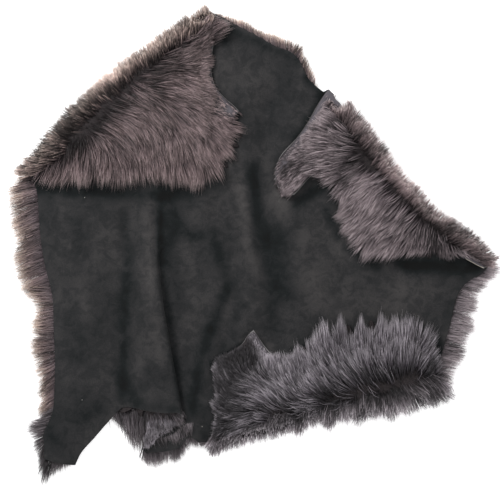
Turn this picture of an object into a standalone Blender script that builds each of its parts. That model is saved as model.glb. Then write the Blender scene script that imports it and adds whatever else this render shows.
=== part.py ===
"""A long-wool sheepskin laid wool side down, with three of its edges turned over so that the wool shows.

The hide is one cut sheet of suede-finished leather, and the fleece is the wool that grows on its other side.
Both are worked out from one flat pattern: an outline, three fold lines at the turned edges, one pleat that
tucks part of the sheet under its neighbour, and a few long soft ridges and hollows.

Plan positions are seen from above: +X to the right, +Y away from the viewer, +Z up from the floor.
"""

import math
from collections import namedtuple

import bmesh
import bpy
import numpy as np
from mathutils import Vector, geometry, kdtree, noise

MM = 0.001

# Driving sizes of the leather
SKIN_THICKNESS = 1.8 * MM
REST_HEIGHT = 25 * MM  # middle of the leather above the floor where it lies flat
EDGE_SAG = 6 * MM  # how much lower the cut edge of the lower layer lies
EDGE_SAG_WIDTH = 45 * MM
FOLD_RADIUS = 5 * MM  # of the leather at a turned edge
LAYER_SPACING = 6 * MM  # between the middles of two leathers that lie leather to leather
SETTLE_WIDTH = 60 * MM  # a turned edge settles to that spacing this far in from its fold

# Driving sizes of the wool, measured from the leather
FLEECE_GAP = 0.3 * MM
PILE_UNDER = 25 * MM
PILE_TOP = 26 * MM
PILE_IN_PLEAT = 4.6 * MM
PILE_ANYWHERE = 60 * MM  # no pile is deeper
PILE_FADE = 42 * MM  # over this width the pile changes from its depth at the cut edge to its full depth
PILE_STIFFNESS = (8 * MM, 16 * MM)  # short pile stands square to the leather, long pile goes with the rest
PILE_SOFTNESS = 16 * MM  # how far from a point its long pile looks for neighbours
DROOP = 0.35  # how far wool that stands out sideways hangs down, as a share of its length
BEND_SPREAD = 2.4  # how far past a turned edge's own bend its deeper wool goes, in half bends
BEND_TOP_SHARE = 0.65  # how much of that depth the upper half of the bend has
LUMP_HEIGHT = 4.5 * MM
LUMP_SIZE = 46 * MM

# Locks at the rim
LEAN_SCATTER = 5  # degrees from lock to lock
LENGTH_SCATTER = 0.5
NARROWEST_LOCK = 9 * MM
LOCK_WAIST = 0.64  # a lock's width half way along, as a share of its root
LOCK_SAG = 0.38  # how much of its fall a lock has half way along
TUFT_LENGTH = 20 * MM  # of the locks on the outer side of a turned edge
TUFT_FALL = 0.7  # height of a tuft's tip, as a share of its root's height
TUFT_SLOPES = (-0.3, 0.6)  # a tuft grows where the wool points between these slopes
TUFT_BEND = 0.6  # and at least this near the middle of the bend
SMALLEST_TUFT = 90 * MM * MM  # area of its root

# Mesh steps
GRID_STEP = 31 * MM
EDGE_STEP = 21 * MM
ALONG_FOLD_STEP = 27 * MM
RIDGE_STEP = 36 * MM
CLEAR_OF_EDGE = 0.6 * GRID_STEP
CLEAR_OF_BEND = 0.55 * GRID_STEP
FOLD_SEGMENTS = 4
CREST_SEGMENTS = 4
TUCK_SEGMENTS = 2

# The pleat
PLEAT_CREST_RADIUS = 9 * MM  # wool side inside this bend
PLEAT_TUCK_RADIUS = 2 * MM  # leather side inside this bend
PLEAT_CLEARANCE = 9 * MM  # the upper layer stays up this far past the tuck's own bend
PLEAT_SHOULDER = 46 * MM  # the upper layer comes down to its neighbour's height over this width
PLEAT_TIGHT = (9, 63)  # the pile is short in the pleat from the second of these bend angles on, in degrees
PLEAT_FADE_LEFT = 34 * MM  # and it gets its full depth back over these widths
PLEAT_FADE_RIGHT = 26 * MM
PLEAT_ENDS = (-432 * MM, -16 * MM)  # from where to where the mesh follows the pleat
PLEAT_ROWS = 18

PleatRow = namedtuple("PleatRow", "y crest_x turn tuck")
PLEAT = (  # y and crest_x in mm; turn is the bend's angle in degrees; tuck is the hidden width in mm
    PleatRow(80, -187, 0, 0),
    PleatRow(30, -186, 28, 0),
    PleatRow(-40, -182, 75, 3),
    PleatRow(-100, -176, 125, 6),
    PleatRow(-160, -166, 165, 12),
    PleatRow(-230, -154, 180, 28),
    PleatRow(-310, -139, 180, 48),
    PleatRow(-420, -124, 180, 82),
)

# Turned edges, in mm: the ends of each fold line, how far its middle bows outwards, and how far the wool
# stands out beyond it at four places along it
Fold = namedtuple("Fold", "name start end bulge reach")
REACH_SHARES = (0, 0.1, 0.55, 1)
FOLDS = (
    Fold("upper_left", (-76, 462), (-444, 122), 23, (20, 17, 26, 20)),
    Fold("upper_right", (155, 303), (474, -42), -22, (3, 16, 22, 14)),
    Fold("lower", (-74, -394), (386, -270), 0, (8, 14, 32, 44)),
)
BULGE_WIDTH = 90 * MM
FOLD_END = -0.03  # a fold line starts this share of its length before its first end

# One run for each stretch of the cut edge, clockwise from above, in mm. layer says which part of the sheet
# it is on. reach is how far the wool stands out beyond the leather at the run's start and end, and pile is
# its depth there. lean is the degrees that the locks turn towards the run's end. tip is the height of the
# lock's ends over the lower layer.
EdgeRun = namedtuple("EdgeRun", "name layer reach pile lean tip points")
CUT_EDGE = (
    EdgeRun("crown", "right", (14, 26), 13, -25, -14,
            ((-70, 462), (-56, 458), (-34, 444), (20, 416), (54, 396), (84, 388))),
    EdgeRun("neck", "right", (28, 12), 12, -4, -14,
            ((102, 366), (112, 342), (121, 326), (134, 317))),
    EdgeRun("neck_roll", "right", (0, 0), 8, 0, 0,
            ((147, 306),)),
    EdgeRun("tongue", "upper_right", (0, 0), 6, 0, 9,
            ((136, 282), (114, 242), (88, 206), (66, 186), (54, 164), (49, 132), (58, 109), (81, 94))),
    EdgeRun("under_tongue", "upper_right", (6, 28), 11, 0, 8,
            ((102, 114), (122, 138), (146, 148), (170, 132), (192, 100), (204, 60))),
    EdgeRun("right_bib", "upper_right", (40, 26), 14, -16, 8,
            ((216, 26), (246, 4), (284, -2), (324, -2))),
    EdgeRun("right_curl", "upper_right", (16, 0), 7, -10, 14,
            ((366, -8), (400, -18), (430, -28), (450, -40), (462, -50))),
    EdgeRun("right_flank", "right", (30, 34), 15, 12, -15,
            ((466, -60), (436, -74), (416, -104), (408, -134), (402, -162), (393, -193), (382, -232))),
    EdgeRun("right_roll", "right", (0, 0), 10, 0, 0,
            ((376, -250),)),
    EdgeRun("lower_right_side", "lower", (12, 22), 12, 0, 8,
            ((362, -244), (356, -216), (348, -198))),
    EdgeRun("lower_bib", "lower", (42, 40), 15, 0, 8,
            ((322, -184), (262, -185), (212, -190), (172, -198), (140, -214), (118, -232))),
    EdgeRun("peak_right", "lower", (6, 0), 7, 0, 8,
            ((94, -242), (62, -234), (37, -213), (21, -192), (4, -168))),
    EdgeRun("peak_left", "lower", (0, 0), 6, 0, 8,
            ((-14, -199), (-30, -209), (-53, -220), (-79, -241), (-75, -271), (-70, -306), (-69, -328),
             (-73, -363), (-77, -386))),
    EdgeRun("tab", "right", (0, 0), 8, 0, -14,
            ((-84, -396), (-94, -402), (-110, -394), (-125, -379))),
    EdgeRun("tucked_tab", "right", (14, 26), 11, 0, -17,
            ((-128, -390), (-132, -400), (-140, -409), (-154, -414), (-184, -417))),
    EdgeRun("pleat_end", "right", (0, 0), 5, 0, 0,
            ((-208, -419),)),
    EdgeRun("hem_corner", "left", (0, 0), 5, 0, 0,
            ((-142, -335),)),
    EdgeRun("hem", "left", (30, 38), 9, 4, 14,
            ((-162, -336), (-188, -334), (-212, -330), (-236, -326))),
    EdgeRun("leg_inside", "left", (0, 0), 8, 0, 0,
            ((-256, -326), (-268, -338), (-294, -367), (-318, -395), (-340, -420))),
    EdgeRun("leg_foot", "left", (8, 62), 12, 0, -17,
            ((-350, -444), (-384, -440))),
    EdgeRun("leg_outside", "left", (22, 34), 13, -24, -17,
            ((-415, -431), (-416, -384), (-408, -364), (-395, -332))),
    EdgeRun("left_flank", "left", (30, 50), 15, -14, -16,
            ((-392, -286), (-393, -192), (-396, -108), (-409, -54), (-419, 0), (-424, 60), (-426, 96))),
    EdgeRun("left_roll", "left", (0, 0), 12, 0, 0,
            ((-428, 110),)),
    EdgeRun("left_bib", "upper_left", (22, 40), 13, 0, 8,
            ((-432, 136), (-404, 146), (-340, 156), (-260, 162), (-180, 158), (-108, 152))),
    EdgeRun("bib_corner", "upper_left", (44, 30), 14, 0, 8,
            ((-76, 166), (-56, 194), (-44, 222), (-38, 246))),
    EdgeRun("upper_tip", "upper_left", (0, 0), 6, 0, 8,
            ((-20, 266), (-42, 286), (-66, 308), (-78, 342), (-76, 380))),
    EdgeRun("upper_tuft", "upper_left", (26, 18), 9, -30, 9,
            ((-68, 422),)),
    EdgeRun("upper_roll", "upper_left", (0, 0), 9, 0, 0,
            ((-70, 446),)),
)

# Long soft ridges (height above 0) and hollows (below 0) of the lower layer: a line through three places and
# a half width, in mm. side is the layer that the line is on.
Ridge = namedtuple("Ridge", "name side start middle end height half_width")
RIDGES = (
    Ridge("left hollow", "left", (-246, 60), (-252, -110), (-257, -285), -8, 22),
    Ridge("left ridge", "left", (-208, 100), (-204, 0), (-204, -150), 7, 22),
    Ridge("middle floor", "right", (-150, 60), (-138, -60), (-130, -260), -5, 28),
    Ridge("inner crest", "right", (-100, 92), (-56, -80), (-120, -345), 7, 16),
    Ridge("inner hollow", "right", (-74, 74), (-30, -86), (-96, -335), -7, 16),
    Ridge("middle crest", "right", (-14, 300), (6, 20), (6, -165), 8, 22),
    Ridge("middle hollow", "right", (44, 300), (26, 110), (54, -170), -9, 21),
    Ridge("breast ridge", "right", (84, 150), (96, 40), (110, -70), 6, 30),
    Ridge("right swell", "right", (150, 40), (200, -30), (230, -110), 5, 38),
    Ridge("right hollow", "right", (270, -60), (340, -60), (400, -80), -4, 30),
    Ridge("far left swell", "left", (-350, 100), (-345, -100), (-330, -300), 4, 40),
)

# Places where a turned edge stands up from the leather under it, in mm
Lift = namedtuple("Lift", "x y radius height")
LIFTS = (
    Lift(448, -34, 70, 13),
    Lift(2, -176, 45, 6),
    Lift(-28, 264, 50, 4),
    Lift(52, 130, 60, 5),
)

Look = namedtuple("Look", "name colour roughness")
SUEDE = Look("suede", (0.026, 0.026, 0.027), 0.95)
WOOL = Look("wool", (0.127, 0.102, 0.107), 0.85)


def smooth(low, high, value):
    """0 below low, 1 above high, and an easy curve between them."""
    share = np.clip((value - low) / (high - low), 0, 1)
    return share * share * (3 - 2 * share)


def between(share, start, end):
    return start + share * (end - start)


def unit(vectors):
    return vectors / np.linalg.norm(vectors, axis=1)[:, None]


def tree_of(points):
    tree = kdtree.KDTree(len(points))
    for index, point in enumerate(points):
        tree.insert((point[0], point[1], 0), index)
    tree.balance()
    return tree


class Pleat:
    """The tuck: the sheet bends over its crest, runs back underneath and bends round again."""

    def __init__(self):
        rows = sorted(PLEAT)
        self.y = np.array([row.y for row in rows]) * MM
        self.crest_x = np.array([row.crest_x for row in rows]) * MM
        self.angle = np.radians([row.turn for row in rows])
        self.tuck = np.array([row.tuck for row in rows]) * MM

    def at(self, y):
        """(x where the crest's bend starts, the bend's angle, hidden width) at y."""
        start = np.interp(y, self.y, self.crest_x) - PLEAT_CREST_RADIUS
        return start, np.interp(y, self.y, self.angle), np.interp(y, self.y, self.tuck)

    def drop(self, y):
        """How much higher the upper layer lies than the lower one."""
        _, turn, tuck = self.at(y)
        return (PLEAT_CREST_RADIUS + PLEAT_TUCK_RADIUS) * (1 - np.cos(turn)) + tuck * np.sin(turn)

    def advance(self, y):
        """How far to the right the sheet gets from the start of the pleat to its end."""
        _, turn, tuck = self.at(y)
        return (PLEAT_CREST_RADIUS + PLEAT_TUCK_RADIUS) * np.sin(turn) + tuck * np.cos(turn)

    def width(self, y):
        """The sheet's own width in the pleat."""
        _, turn, tuck = self.at(y)
        return (PLEAT_CREST_RADIUS + PLEAT_TUCK_RADIUS) * turn + tuck

    def end(self, y):
        return self.at(y)[0] + self.advance(y)

    def shift(self, y):
        """How far the pleat pulls the left part of the flat pattern to the right."""
        return self.width(y) - self.advance(y)

    def along(self, flat):
        """How far past the start of the pleat a point of the flat pattern lies."""
        return flat[:, 0] - (self.end(flat[:, 1]) - self.width(flat[:, 1]))

    def hidden(self, y):
        return np.clip(-self.advance(y), 0, None)

    def raised(self, flat):
        """1 where the upper layer lies on the pleat, 0 from its shoulder on, and 1 to the right too."""
        clear = self.hidden(flat[:, 1]) + PLEAT_CLEARANCE
        return 1 - smooth(clear, clear + PLEAT_SHOULDER, -self.along(flat))

    def section(self, along, y):
        """(x, z) of a point that lies that far along the sheet from the start of the pleat."""
        start, turn, tuck = self.at(y)
        over = np.clip(along / PLEAT_CREST_RADIUS, 0, turn)
        flat = np.clip(along - PLEAT_CREST_RADIUS * turn, 0, tuck)
        back = np.clip((along - PLEAT_CREST_RADIUS * turn - tuck) / PLEAT_TUCK_RADIUS, 0, turn)
        x = PLEAT_CREST_RADIUS * np.sin(over) + flat * np.cos(turn)
        x += PLEAT_TUCK_RADIUS * (np.sin(turn) - np.sin(turn - back))
        z = self.drop(y) - PLEAT_CREST_RADIUS * (1 - np.cos(over)) - flat * np.sin(turn)
        z -= PLEAT_TUCK_RADIUS * (np.cos(turn - back) - np.cos(turn))
        return start + x, z

    def room(self, flat):
        """The deepest pile that fits: little in the pleat, and any depth to its left and right."""
        y = flat[:, 1]
        _, turn, tuck = self.at(y)
        tight = smooth(*np.radians(PLEAT_TIGHT), turn)
        clear = self.hidden(y) + 2 * PLEAT_CLEARANCE
        left = smooth(clear, clear + PLEAT_FADE_LEFT, -self.along(flat))
        right = smooth(0, PLEAT_FADE_RIGHT, self.along(flat) - self.width(y))
        return between(tight * (1 - np.maximum(left, right)), PILE_ANYWHERE, PILE_IN_PLEAT)


class TurnedEdge:
    """One fold line of the flat pattern, past which the sheet rolls up and back over itself."""

    def __init__(self, fold):
        self.name = fold.name
        self.start = np.array(fold.start) * MM
        line = np.array(fold.end) * MM - self.start
        self.length = float(np.hypot(*line))
        self.along = line / self.length
        self.out = np.array([self.along[1], -self.along[0]])
        if self.out @ self.start < 0:
            self.out = -self.out
        self.bulge = fold.bulge * MM
        self.reach = np.array(fold.reach) * MM

    def beyond(self, points):
        return (points - self.start) @ self.out

    def share(self, points):
        return (points - self.start) @ self.along / self.length

    def holds(self, points):
        """Which points of the flat pattern this fold turns over."""
        return (self.beyond(points) > 0) & (self.share(points) > FOLD_END)

    def unfold(self, points):
        """The flat pattern's points for points of the turned part, as seen from above."""
        return points + np.outer(math.pi * FOLD_RADIUS - 2 * self.beyond(points), self.out)

    def bow(self, points):
        """The sideways push that gives the fold its curved line."""
        middle = np.clip(1 - (2 * self.share(points) - 1) ** 2, 0, None)
        near = np.exp(-((self.beyond(points) / BULGE_WIDTH) ** 2))
        return np.outer(self.bulge * middle * near, self.out)

    def bend(self, flat):
        """1 along the outer side of the fold, fading to 0 away from it."""
        middle = math.pi * FOLD_RADIUS / 2
        away = (self.beyond(flat) - middle) / (BEND_SPREAD * middle)
        return np.exp(-(away**2)) * (self.share(flat) > FOLD_END)

    def reach_at(self, flat):
        return np.interp(self.share(flat), REACH_SHARES, self.reach)


pleat = Pleat()
turned_edges = [TurnedEdge(fold) for fold in FOLDS]


def bowed(points):
    return points + sum(edge.bow(points) for edge in turned_edges)


def unbowed(points):
    found = points.copy()
    for _ in range(12):
        found = found + points - bowed(found)
    return found


def flat_of(points, layer):
    """The flat pattern's points for points seen from above on that layer."""
    points = np.array(points, float) * MM
    if layer == "left":
        points[:, 0] -= pleat.shift(points[:, 1])
    found = unbowed(points)
    for edge in turned_edges:
        if edge.name == layer:
            found = edge.unfold(found)
    return found


def rounded(corners, steps=6):
    """A smooth curve through the corners."""
    padded = np.vstack([2 * corners[0] - corners[1], corners, 2 * corners[-1] - corners[-2]])
    line = []
    for a, b, c, d in zip(padded, padded[1:], padded[2:], padded[3:]):
        for step in range(steps):
            t = step / steps
            line.append(0.5 * (2 * b + (c - a) * t + (2 * a - 5 * b + 4 * c - d) * t**2
                               + (3 * b - a - 3 * c + d) * t**3))
    line.append(corners[-1])
    return np.array(line)


def stepped(corners, step):
    """(points, shares) at even steps along the curve through the corners, without its last point."""
    line = rounded(corners)
    lengths = np.concatenate([[0], np.cumsum(np.hypot(*np.diff(line, axis=0).T))])
    count = max(1, round(lengths[-1] / step))
    shares = np.arange(count) / count
    points = [np.interp(shares * lengths[-1], lengths, line[:, axis]) for axis in (0, 1)]
    return np.column_stack(points), shares


class CutEdge:
    """The outline of the flat pattern in even steps, with the wool's measures at each point."""

    def __init__(self):
        points, reach, pile, lean, tip = [], [], [], [], []
        runs = [flat_of(run.points, run.layer) for run in CUT_EDGE]
        for index, run in enumerate(CUT_EDGE):
            following = runs[(index + 1) % len(runs)][0]
            found, shares = stepped(np.vstack([runs[index], following]), EDGE_STEP)
            points.append(found)
            reach.append(between(shares, *run.reach) * MM)
            pile.append(np.full(len(found), run.pile * MM))
            lean.append(np.full(len(found), math.radians(run.lean)))
            tip.append(np.full(len(found), run.tip * MM))
        self.points = np.vstack(points)
        self.reach, self.pile = np.concatenate(reach), np.concatenate(pile)
        self.lean, self.tip = np.concatenate(lean), np.concatenate(tip)
        self.tree = tree_of(self.points)

    def nearest(self, points):
        """(distance to the outline, index of its nearest point) for points of the flat pattern."""
        found = [self.tree.find((x, y, 0)) for x, y in points]
        indices = np.array([f[1] for f in found])
        away = np.full(len(points), np.inf)
        for side in (-1, 1):
            start = self.points[indices]
            line = self.points[(indices + side) % len(self.points)] - start
            share = np.einsum("ij,ij->i", points - start, line) / np.einsum("ij,ij->i", line, line)
            foot = start + np.clip(share, 0, 1)[:, None] * line
            away = np.minimum(away, np.linalg.norm(points - foot, axis=1))
        return away, indices

    def inside(self, points):
        """Which points the outline encloses, by counting its crossings to the right of each."""
        crossings = np.zeros(len(points), int)
        for a, b in zip(self.points, np.roll(self.points, -1, axis=0)):
            spans = (a[1] > points[:, 1]) != (b[1] > points[:, 1])
            rise = b[1] - a[1] if b[1] != a[1] else 1
            crossings += spans & (points[:, 0] < a[0] + (points[:, 1] - a[1]) * (b[0] - a[0]) / rise)
        return crossings % 2 == 1


def away_from_line(points, corners):
    """Distance of points from a line through corners, in plan."""
    nearest = np.full(len(points), np.inf)
    for start, end in zip(corners, corners[1:]):
        line = end - start
        share = np.clip((points - start) @ line / (line @ line), 0, 1)
        nearest = np.minimum(nearest, np.linalg.norm(points - start - share[:, None] * line, axis=1))
    return nearest


def ground(points):
    """Height of the lower layer's leather, in plan."""
    height = np.full(len(points), REST_HEIGHT)
    for ridge in RIDGES:
        line = rounded(np.array([ridge.start, ridge.middle, ridge.end]) * MM, 3)
        away = away_from_line(points, line) / (ridge.half_width * MM)
        height += ridge.height * MM * np.exp(-(away**2))
    return height


def lifted(points):
    height = np.zeros(len(points))
    for lift in LIFTS:
        away = np.linalg.norm(points - np.array([lift.x, lift.y]) * MM, axis=1) / (lift.radius * MM)
        height += lift.height * MM * np.exp(-2 * away**2)
    return height


def bend_lines():
    """Lines of the flat pattern that follow the turned edges and the pleat."""
    lines = []
    for edge in turned_edges:
        shares = np.linspace(FOLD_END, 1 - FOLD_END, round(edge.length / ALONG_FOLD_STEP) + 2)
        for segment in range(FOLD_SEGMENTS + 1):
            beyond = math.pi * FOLD_RADIUS * segment / FOLD_SEGMENTS
            lines.append(edge.start + np.outer(shares * edge.length, edge.along) + beyond * edge.out)
    heights = np.linspace(*PLEAT_ENDS, PLEAT_ROWS)
    _, turn, tuck = pleat.at(heights)
    begin = pleat.end(heights) - pleat.width(heights)
    for share in np.linspace(0, 1, CREST_SEGMENTS + 1):
        lines.append(np.column_stack([begin + share * PLEAT_CREST_RADIUS * turn, heights]))
    for share in np.linspace(0, 1, TUCK_SEGMENTS + 1):
        bend = PLEAT_CREST_RADIUS * turn + tuck + share * PLEAT_TUCK_RADIUS * turn
        lines.append(np.column_stack([begin + bend, heights]))
    return lines


def ridge_lines(bends):
    """Points along the ridges, in the flat pattern, clear of the bends."""
    points = [stepped(flat_of([r.start, r.middle, r.end], r.side), RIDGE_STEP)[0] for r in RIDGES]
    return clear_of(np.vstack(points), np.vstack(bends), CLEAR_OF_EDGE)


def clear_of(points, others, distance):
    tree = tree_of(others)
    return points[[tree.find((x, y, 0))[2] > distance for x, y in points]]


def staggered_grid(low, high):
    grid = []
    for number, y in enumerate(np.arange(low[1], high[1], GRID_STEP * math.sqrt(3) / 2)):
        grid += [(x, y) for x in np.arange(low[0] + GRID_STEP / 2 * (number % 2), high[0], GRID_STEP)]
    return np.array(grid)


def flat_pattern(outline):
    """(points, triangles) of the flat pattern, with edges along its outline and along its bends."""
    bends = bend_lines()
    ridges = ridge_lines(bends)
    ridges = ridges[outline.nearest(ridges)[0] > CLEAR_OF_EDGE]
    grid = staggered_grid(outline.points.min(axis=0), outline.points.max(axis=0))
    grid = grid[outline.inside(grid)]
    grid = grid[outline.nearest(grid)[0] > CLEAR_OF_EDGE]
    grid = clear_of(grid, np.vstack(bends), CLEAR_OF_BEND)
    grid = clear_of(grid, ridges, CLEAR_OF_EDGE)
    points = list(outline.points)
    edges = [(i, (i + 1) % len(points)) for i in range(len(points))]
    for line in bends:
        edges += [(len(points) + i, len(points) + i + 1) for i in range(len(line) - 1)]
        points += list(line)
    points += list(ridges) + list(grid)
    inside = 1
    found = geometry.delaunay_2d_cdt([Vector(p) for p in points], edges, [], inside, 1e-6)
    used, triangles = np.unique([tuple(face) for face in found[2]], return_inverse=True)
    return np.array([tuple(p) for p in found[0]])[used], triangles.reshape(-1, 3)


def middle_surface(flat, outline):
    """Where each point of the flat pattern lies, half way through the leather, when the skin is laid out."""
    plan = flat.copy()
    level = np.zeros(len(flat))
    rolled = np.zeros(len(flat))  # 0 on the lower layer, 1 on a turned edge
    for edge in turned_edges:
        held = edge.holds(flat)
        beyond = edge.beyond(flat[held])
        angle = np.clip(beyond / FOLD_RADIUS, 0, math.pi)
        inwards = np.clip(beyond - math.pi * FOLD_RADIUS, 0, None)
        plan[held] += np.outer(FOLD_RADIUS * np.sin(angle) - inwards - beyond, edge.out)
        settled = smooth(0, SETTLE_WIDTH, inwards)
        level[held] = FOLD_RADIUS * (1 - np.cos(angle)) + settled * (LAYER_SPACING - 2 * FOLD_RADIUS)
        level[held] += settled * lifted(plan[held])
        rolled[held] = angle / math.pi
    plan = bowed(plan)
    along, y = pleat.along(flat), flat[:, 1]
    left = along <= 0
    plan[left, 0] += pleat.shift(y[left])
    level[left] += (pleat.drop(y) * pleat.raised(flat))[left]
    tucked = (along > 0) & (along < pleat.width(y))
    plan[tucked, 0], level[tucked] = pleat.section(along[tucked], y[tucked])
    level -= sag(flat, outline) * (1 - rolled)
    return np.column_stack([plan, ground(plan) + level])


def sag(flat, outline):
    """The lower layer's cut edge sinks into the wool that splays out under it, but not at the pleat."""
    from_edge, _ = outline.nearest(flat)
    y = flat[:, 1]
    free_right = smooth(0, PLEAT_FADE_RIGHT, pleat.along(flat) - pleat.width(y))
    free_left = 1 - pleat.raised(flat)
    free = np.where(pleat.width(y) > 0, np.maximum(free_left, free_right), 1)
    return EDGE_SAG * (1 - smooth(0, EDGE_SAG_WIDTH, from_edge)) * free


def leather_side(flat, outline, step=0.2 * MM):
    """Unit directions out of the leather side, taken over that distance around each point."""
    ahead = [middle_surface(flat + shift, outline) for shift in ((step, 0), (0, step))]
    behind = [middle_surface(flat - shift, outline) for shift in ((step, 0), (0, step))]
    return unit(np.cross(ahead[0] - behind[0], ahead[1] - behind[1]))


def eased(values, triangles, times):
    """Values at the pattern's points, each drawn towards the middle of its neighbours."""
    for _ in range(times):
        total, count = values.copy(), np.ones(len(values))
        for a, b in ((0, 1), (1, 2), (2, 0), (1, 0), (2, 1), (0, 2)):
            np.add.at(total, triangles[:, a], values[triangles[:, b]])
            np.add.at(count, triangles[:, a], 1)
        values = (total.T / count).T
    return values


def pile_depth(flat, place, leather, outline):
    """Depth of the wool at each point, from the leather out."""
    from_edge, nearest = outline.nearest(flat)
    upwards = smooth(-0.6, 0.6, -leather[:, 2])
    depth = between(upwards, PILE_UNDER, PILE_TOP)
    for edge in turned_edges:
        depth += edge.bend(flat) * (edge.reach_at(flat) - depth) * between(upwards, 1, BEND_TOP_SHARE)
    depth += [noise.noise(Vector(point) / LUMP_SIZE) * LUMP_HEIGHT for point in place]
    depth = between(smooth(0, PILE_FADE, from_edge), outline.pile[nearest], depth)
    return np.minimum(depth, pleat.room(flat))


def wool_ends(flat, place, leather, triangles, outline):
    """The outer side of the fleece."""
    depth = pile_depth(flat, place, leather, outline)
    softened = unit(eased(leather_side(flat, outline, PILE_SOFTNESS), triangles, 2))
    softness = smooth(*PILE_STIFFNESS, depth)
    direction = unit(between(softness[:, None], leather, softened))
    inner = SKIN_THICKNESS / 2 + FLEECE_GAP
    ends = place - (inner + depth)[:, None] * direction
    ends[:, 2] -= DROOP * depth * np.hypot(direction[:, 0], direction[:, 1]) * (depth > PILE_STIFFNESS[0])
    ends[:, 2] = np.maximum(ends[:, 2], 0)
    return ends, direction


def material(look):
    made = bpy.data.materials.new(look.name)
    made.use_nodes = True
    shader = made.node_tree.nodes["Principled BSDF"]
    shader.inputs["Base Color"].default_value = (*look.colour, 1)
    shader.inputs["Roughness"].default_value = look.roughness
    shader.inputs["Metallic"].default_value = 0
    return made


def slab(leather_points, wool_points, triangles):
    """(bmesh, outer faces, rim faces) of the closed slab between two copies of the sheet."""
    shape = bmesh.new()
    over = [shape.verts.new(p) for p in leather_points]
    under = [shape.verts.new(p) for p in wool_points]
    for a, b, c in triangles:
        shape.faces.new((over[a], over[b], over[c]))
    shape.verts.index_update()
    boundary = [edge.link_loops[0] for edge in shape.edges if edge.is_boundary]
    pairs = [(loop.vert.index, loop.link_loop_next.vert.index) for loop in boundary]
    outer = [shape.faces.new((under[c], under[b], under[a])) for a, b, c in triangles]
    rim = [shape.faces.new((over[b], over[a], under[a], under[b])) for a, b in pairs]
    return shape, outer, list(zip(rim, pairs))


def finished(shape, name, look):
    bmesh.ops.triangulate(shape, faces=shape.faces[:])
    mesh = bpy.data.meshes.new(name)
    shape.to_mesh(mesh)
    shape.free()
    mesh.materials.append(material(look))
    made = bpy.data.objects.new(name, mesh)
    bpy.context.scene.collection.objects.link(made)
    mesh.shade_smooth()
    return made


def draw_out(shape, face, waist, waist_size, tip):
    """Draws a face out into a lock: to a narrower waist, and on to a point."""
    root = face.calc_center_median()
    corners = [waist + waist_size * (vert.co - root) for vert in face.verts]
    belt = bmesh.ops.extrude_discrete_faces(shape, faces=[face])["faces"][0]
    for vert, corner in zip(belt.verts, corners):
        vert.co = corner
    point = bmesh.ops.extrude_discrete_faces(shape, faces=[belt])["faces"][0]
    bmesh.ops.pointmerge(shape, verts=point.verts[:], merge_co=tip)


def scatter(number, kind):
    return noise.noise(Vector((number * 0.71, kind, 0)))


def edge_lock(shape, face, at, outline, outwards, number):
    """One lock of the cut edge."""
    length = outline.reach[at] * (1 + LENGTH_SCATTER * scatter(number, 3.3))
    lean = outline.lean[at] + math.radians(LEAN_SCATTER) * scatter(number, 7.7)
    heading = Vector((outwards[0] * math.cos(lean) + outwards[1] * math.sin(lean),
                      outwards[1] * math.cos(lean) - outwards[0] * math.sin(lean), 0)).normalized()
    root = face.calc_center_median()
    tip = root + heading * length
    tip.z = ground(np.array([tip[:2]]))[0] + outline.tip[at]
    waist = root + heading * length * 0.5
    waist.z = between(LOCK_SAG, root.z, tip.z)
    draw_out(shape, face, waist, LOCK_WAIST, tip)


def lock_width(face):
    return min((face.verts[1].co - face.verts[0].co).length, (face.verts[2].co - face.verts[3].co).length)


def edge_locks(shape, rim, flat, leather, outline):
    """Locks from the fleece's rim faces, where the wool reaches past the cut edge."""
    count = 0
    for number, (face, pair) in enumerate(rim):
        pair = list(pair)
        at = outline.nearest(np.array([flat[pair].mean(axis=0)]))[1][0]
        if outline.reach[at] > NARROWEST_LOCK and lock_width(face) > NARROWEST_LOCK:
            edge = face.verts[1].co - face.verts[0].co
            outwards = Vector(leather[pair].mean(axis=0)).cross(edge)
            edge_lock(shape, face, at, outline, outwards.normalized(), number)
            count += 1
    return count


def fold_tufts(shape, outer, flat, direction, triangles):
    """Locks on the outer side of the turned edges, no two of them on faces that share an edge."""
    count = 0
    taken = set()
    for number, (face, corners) in enumerate(zip(outer, triangles)):
        sideways = -direction[corners].mean(axis=0)
        bend = max(edge.bend(flat[corners]).min() for edge in turned_edges)
        on_the_edge = bend > TUFT_BEND and TUFT_SLOPES[0] < sideways[2] < TUFT_SLOPES[1]
        sides = {frozenset(corners[[i, i - 1]]) for i in range(3)}
        if not on_the_edge or taken & sides or face.calc_area() < SMALLEST_TUFT:
            continue
        taken |= sides
        length = TUFT_LENGTH * (1 + LENGTH_SCATTER * scatter(number, 5.1))
        heading = Vector((sideways[0], sideways[1], 0)).normalized()
        root = face.calc_center_median()
        tip = root + heading * length
        tip.z = TUFT_FALL * root.z
        draw_out(shape, face, between(0.5, root, tip), LOCK_WAIST, tip)
        count += 1
    return count


def build_skin(place, leather, triangles):
    half = SKIN_THICKNESS / 2
    shape, _, _ = slab(place + half * leather, place - half * leather, triangles)
    return finished(shape, "skin", SUEDE)


def build_fleece(flat, place, leather, triangles, outline):
    ends, direction = wool_ends(flat, place, leather, triangles, outline)
    roots = place - (SKIN_THICKNESS / 2 + FLEECE_GAP) * leather
    shape, outer, rim = slab(roots, ends, triangles)
    tufts = fold_tufts(shape, outer, flat, direction, triangles)
    locks = edge_locks(shape, rim, flat, leather, outline)
    print(f"{tufts} locks on the turned edges and {locks} on the cut edge")
    return finished(shape, "fleece", WOOL)


def set_on_origin(made):
    """Moves the shapes so that the middle of their foot is at the origin."""
    points = np.array([vert.co for piece in made for vert in piece.data.vertices])
    low, high = points.min(axis=0), points.max(axis=0)
    to_origin = Vector((-(low[0] + high[0]) / 2, -(low[1] + high[1]) / 2, -low[2]))
    for piece in made:
        for vert in piece.data.vertices:
            vert.co += to_origin


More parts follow.
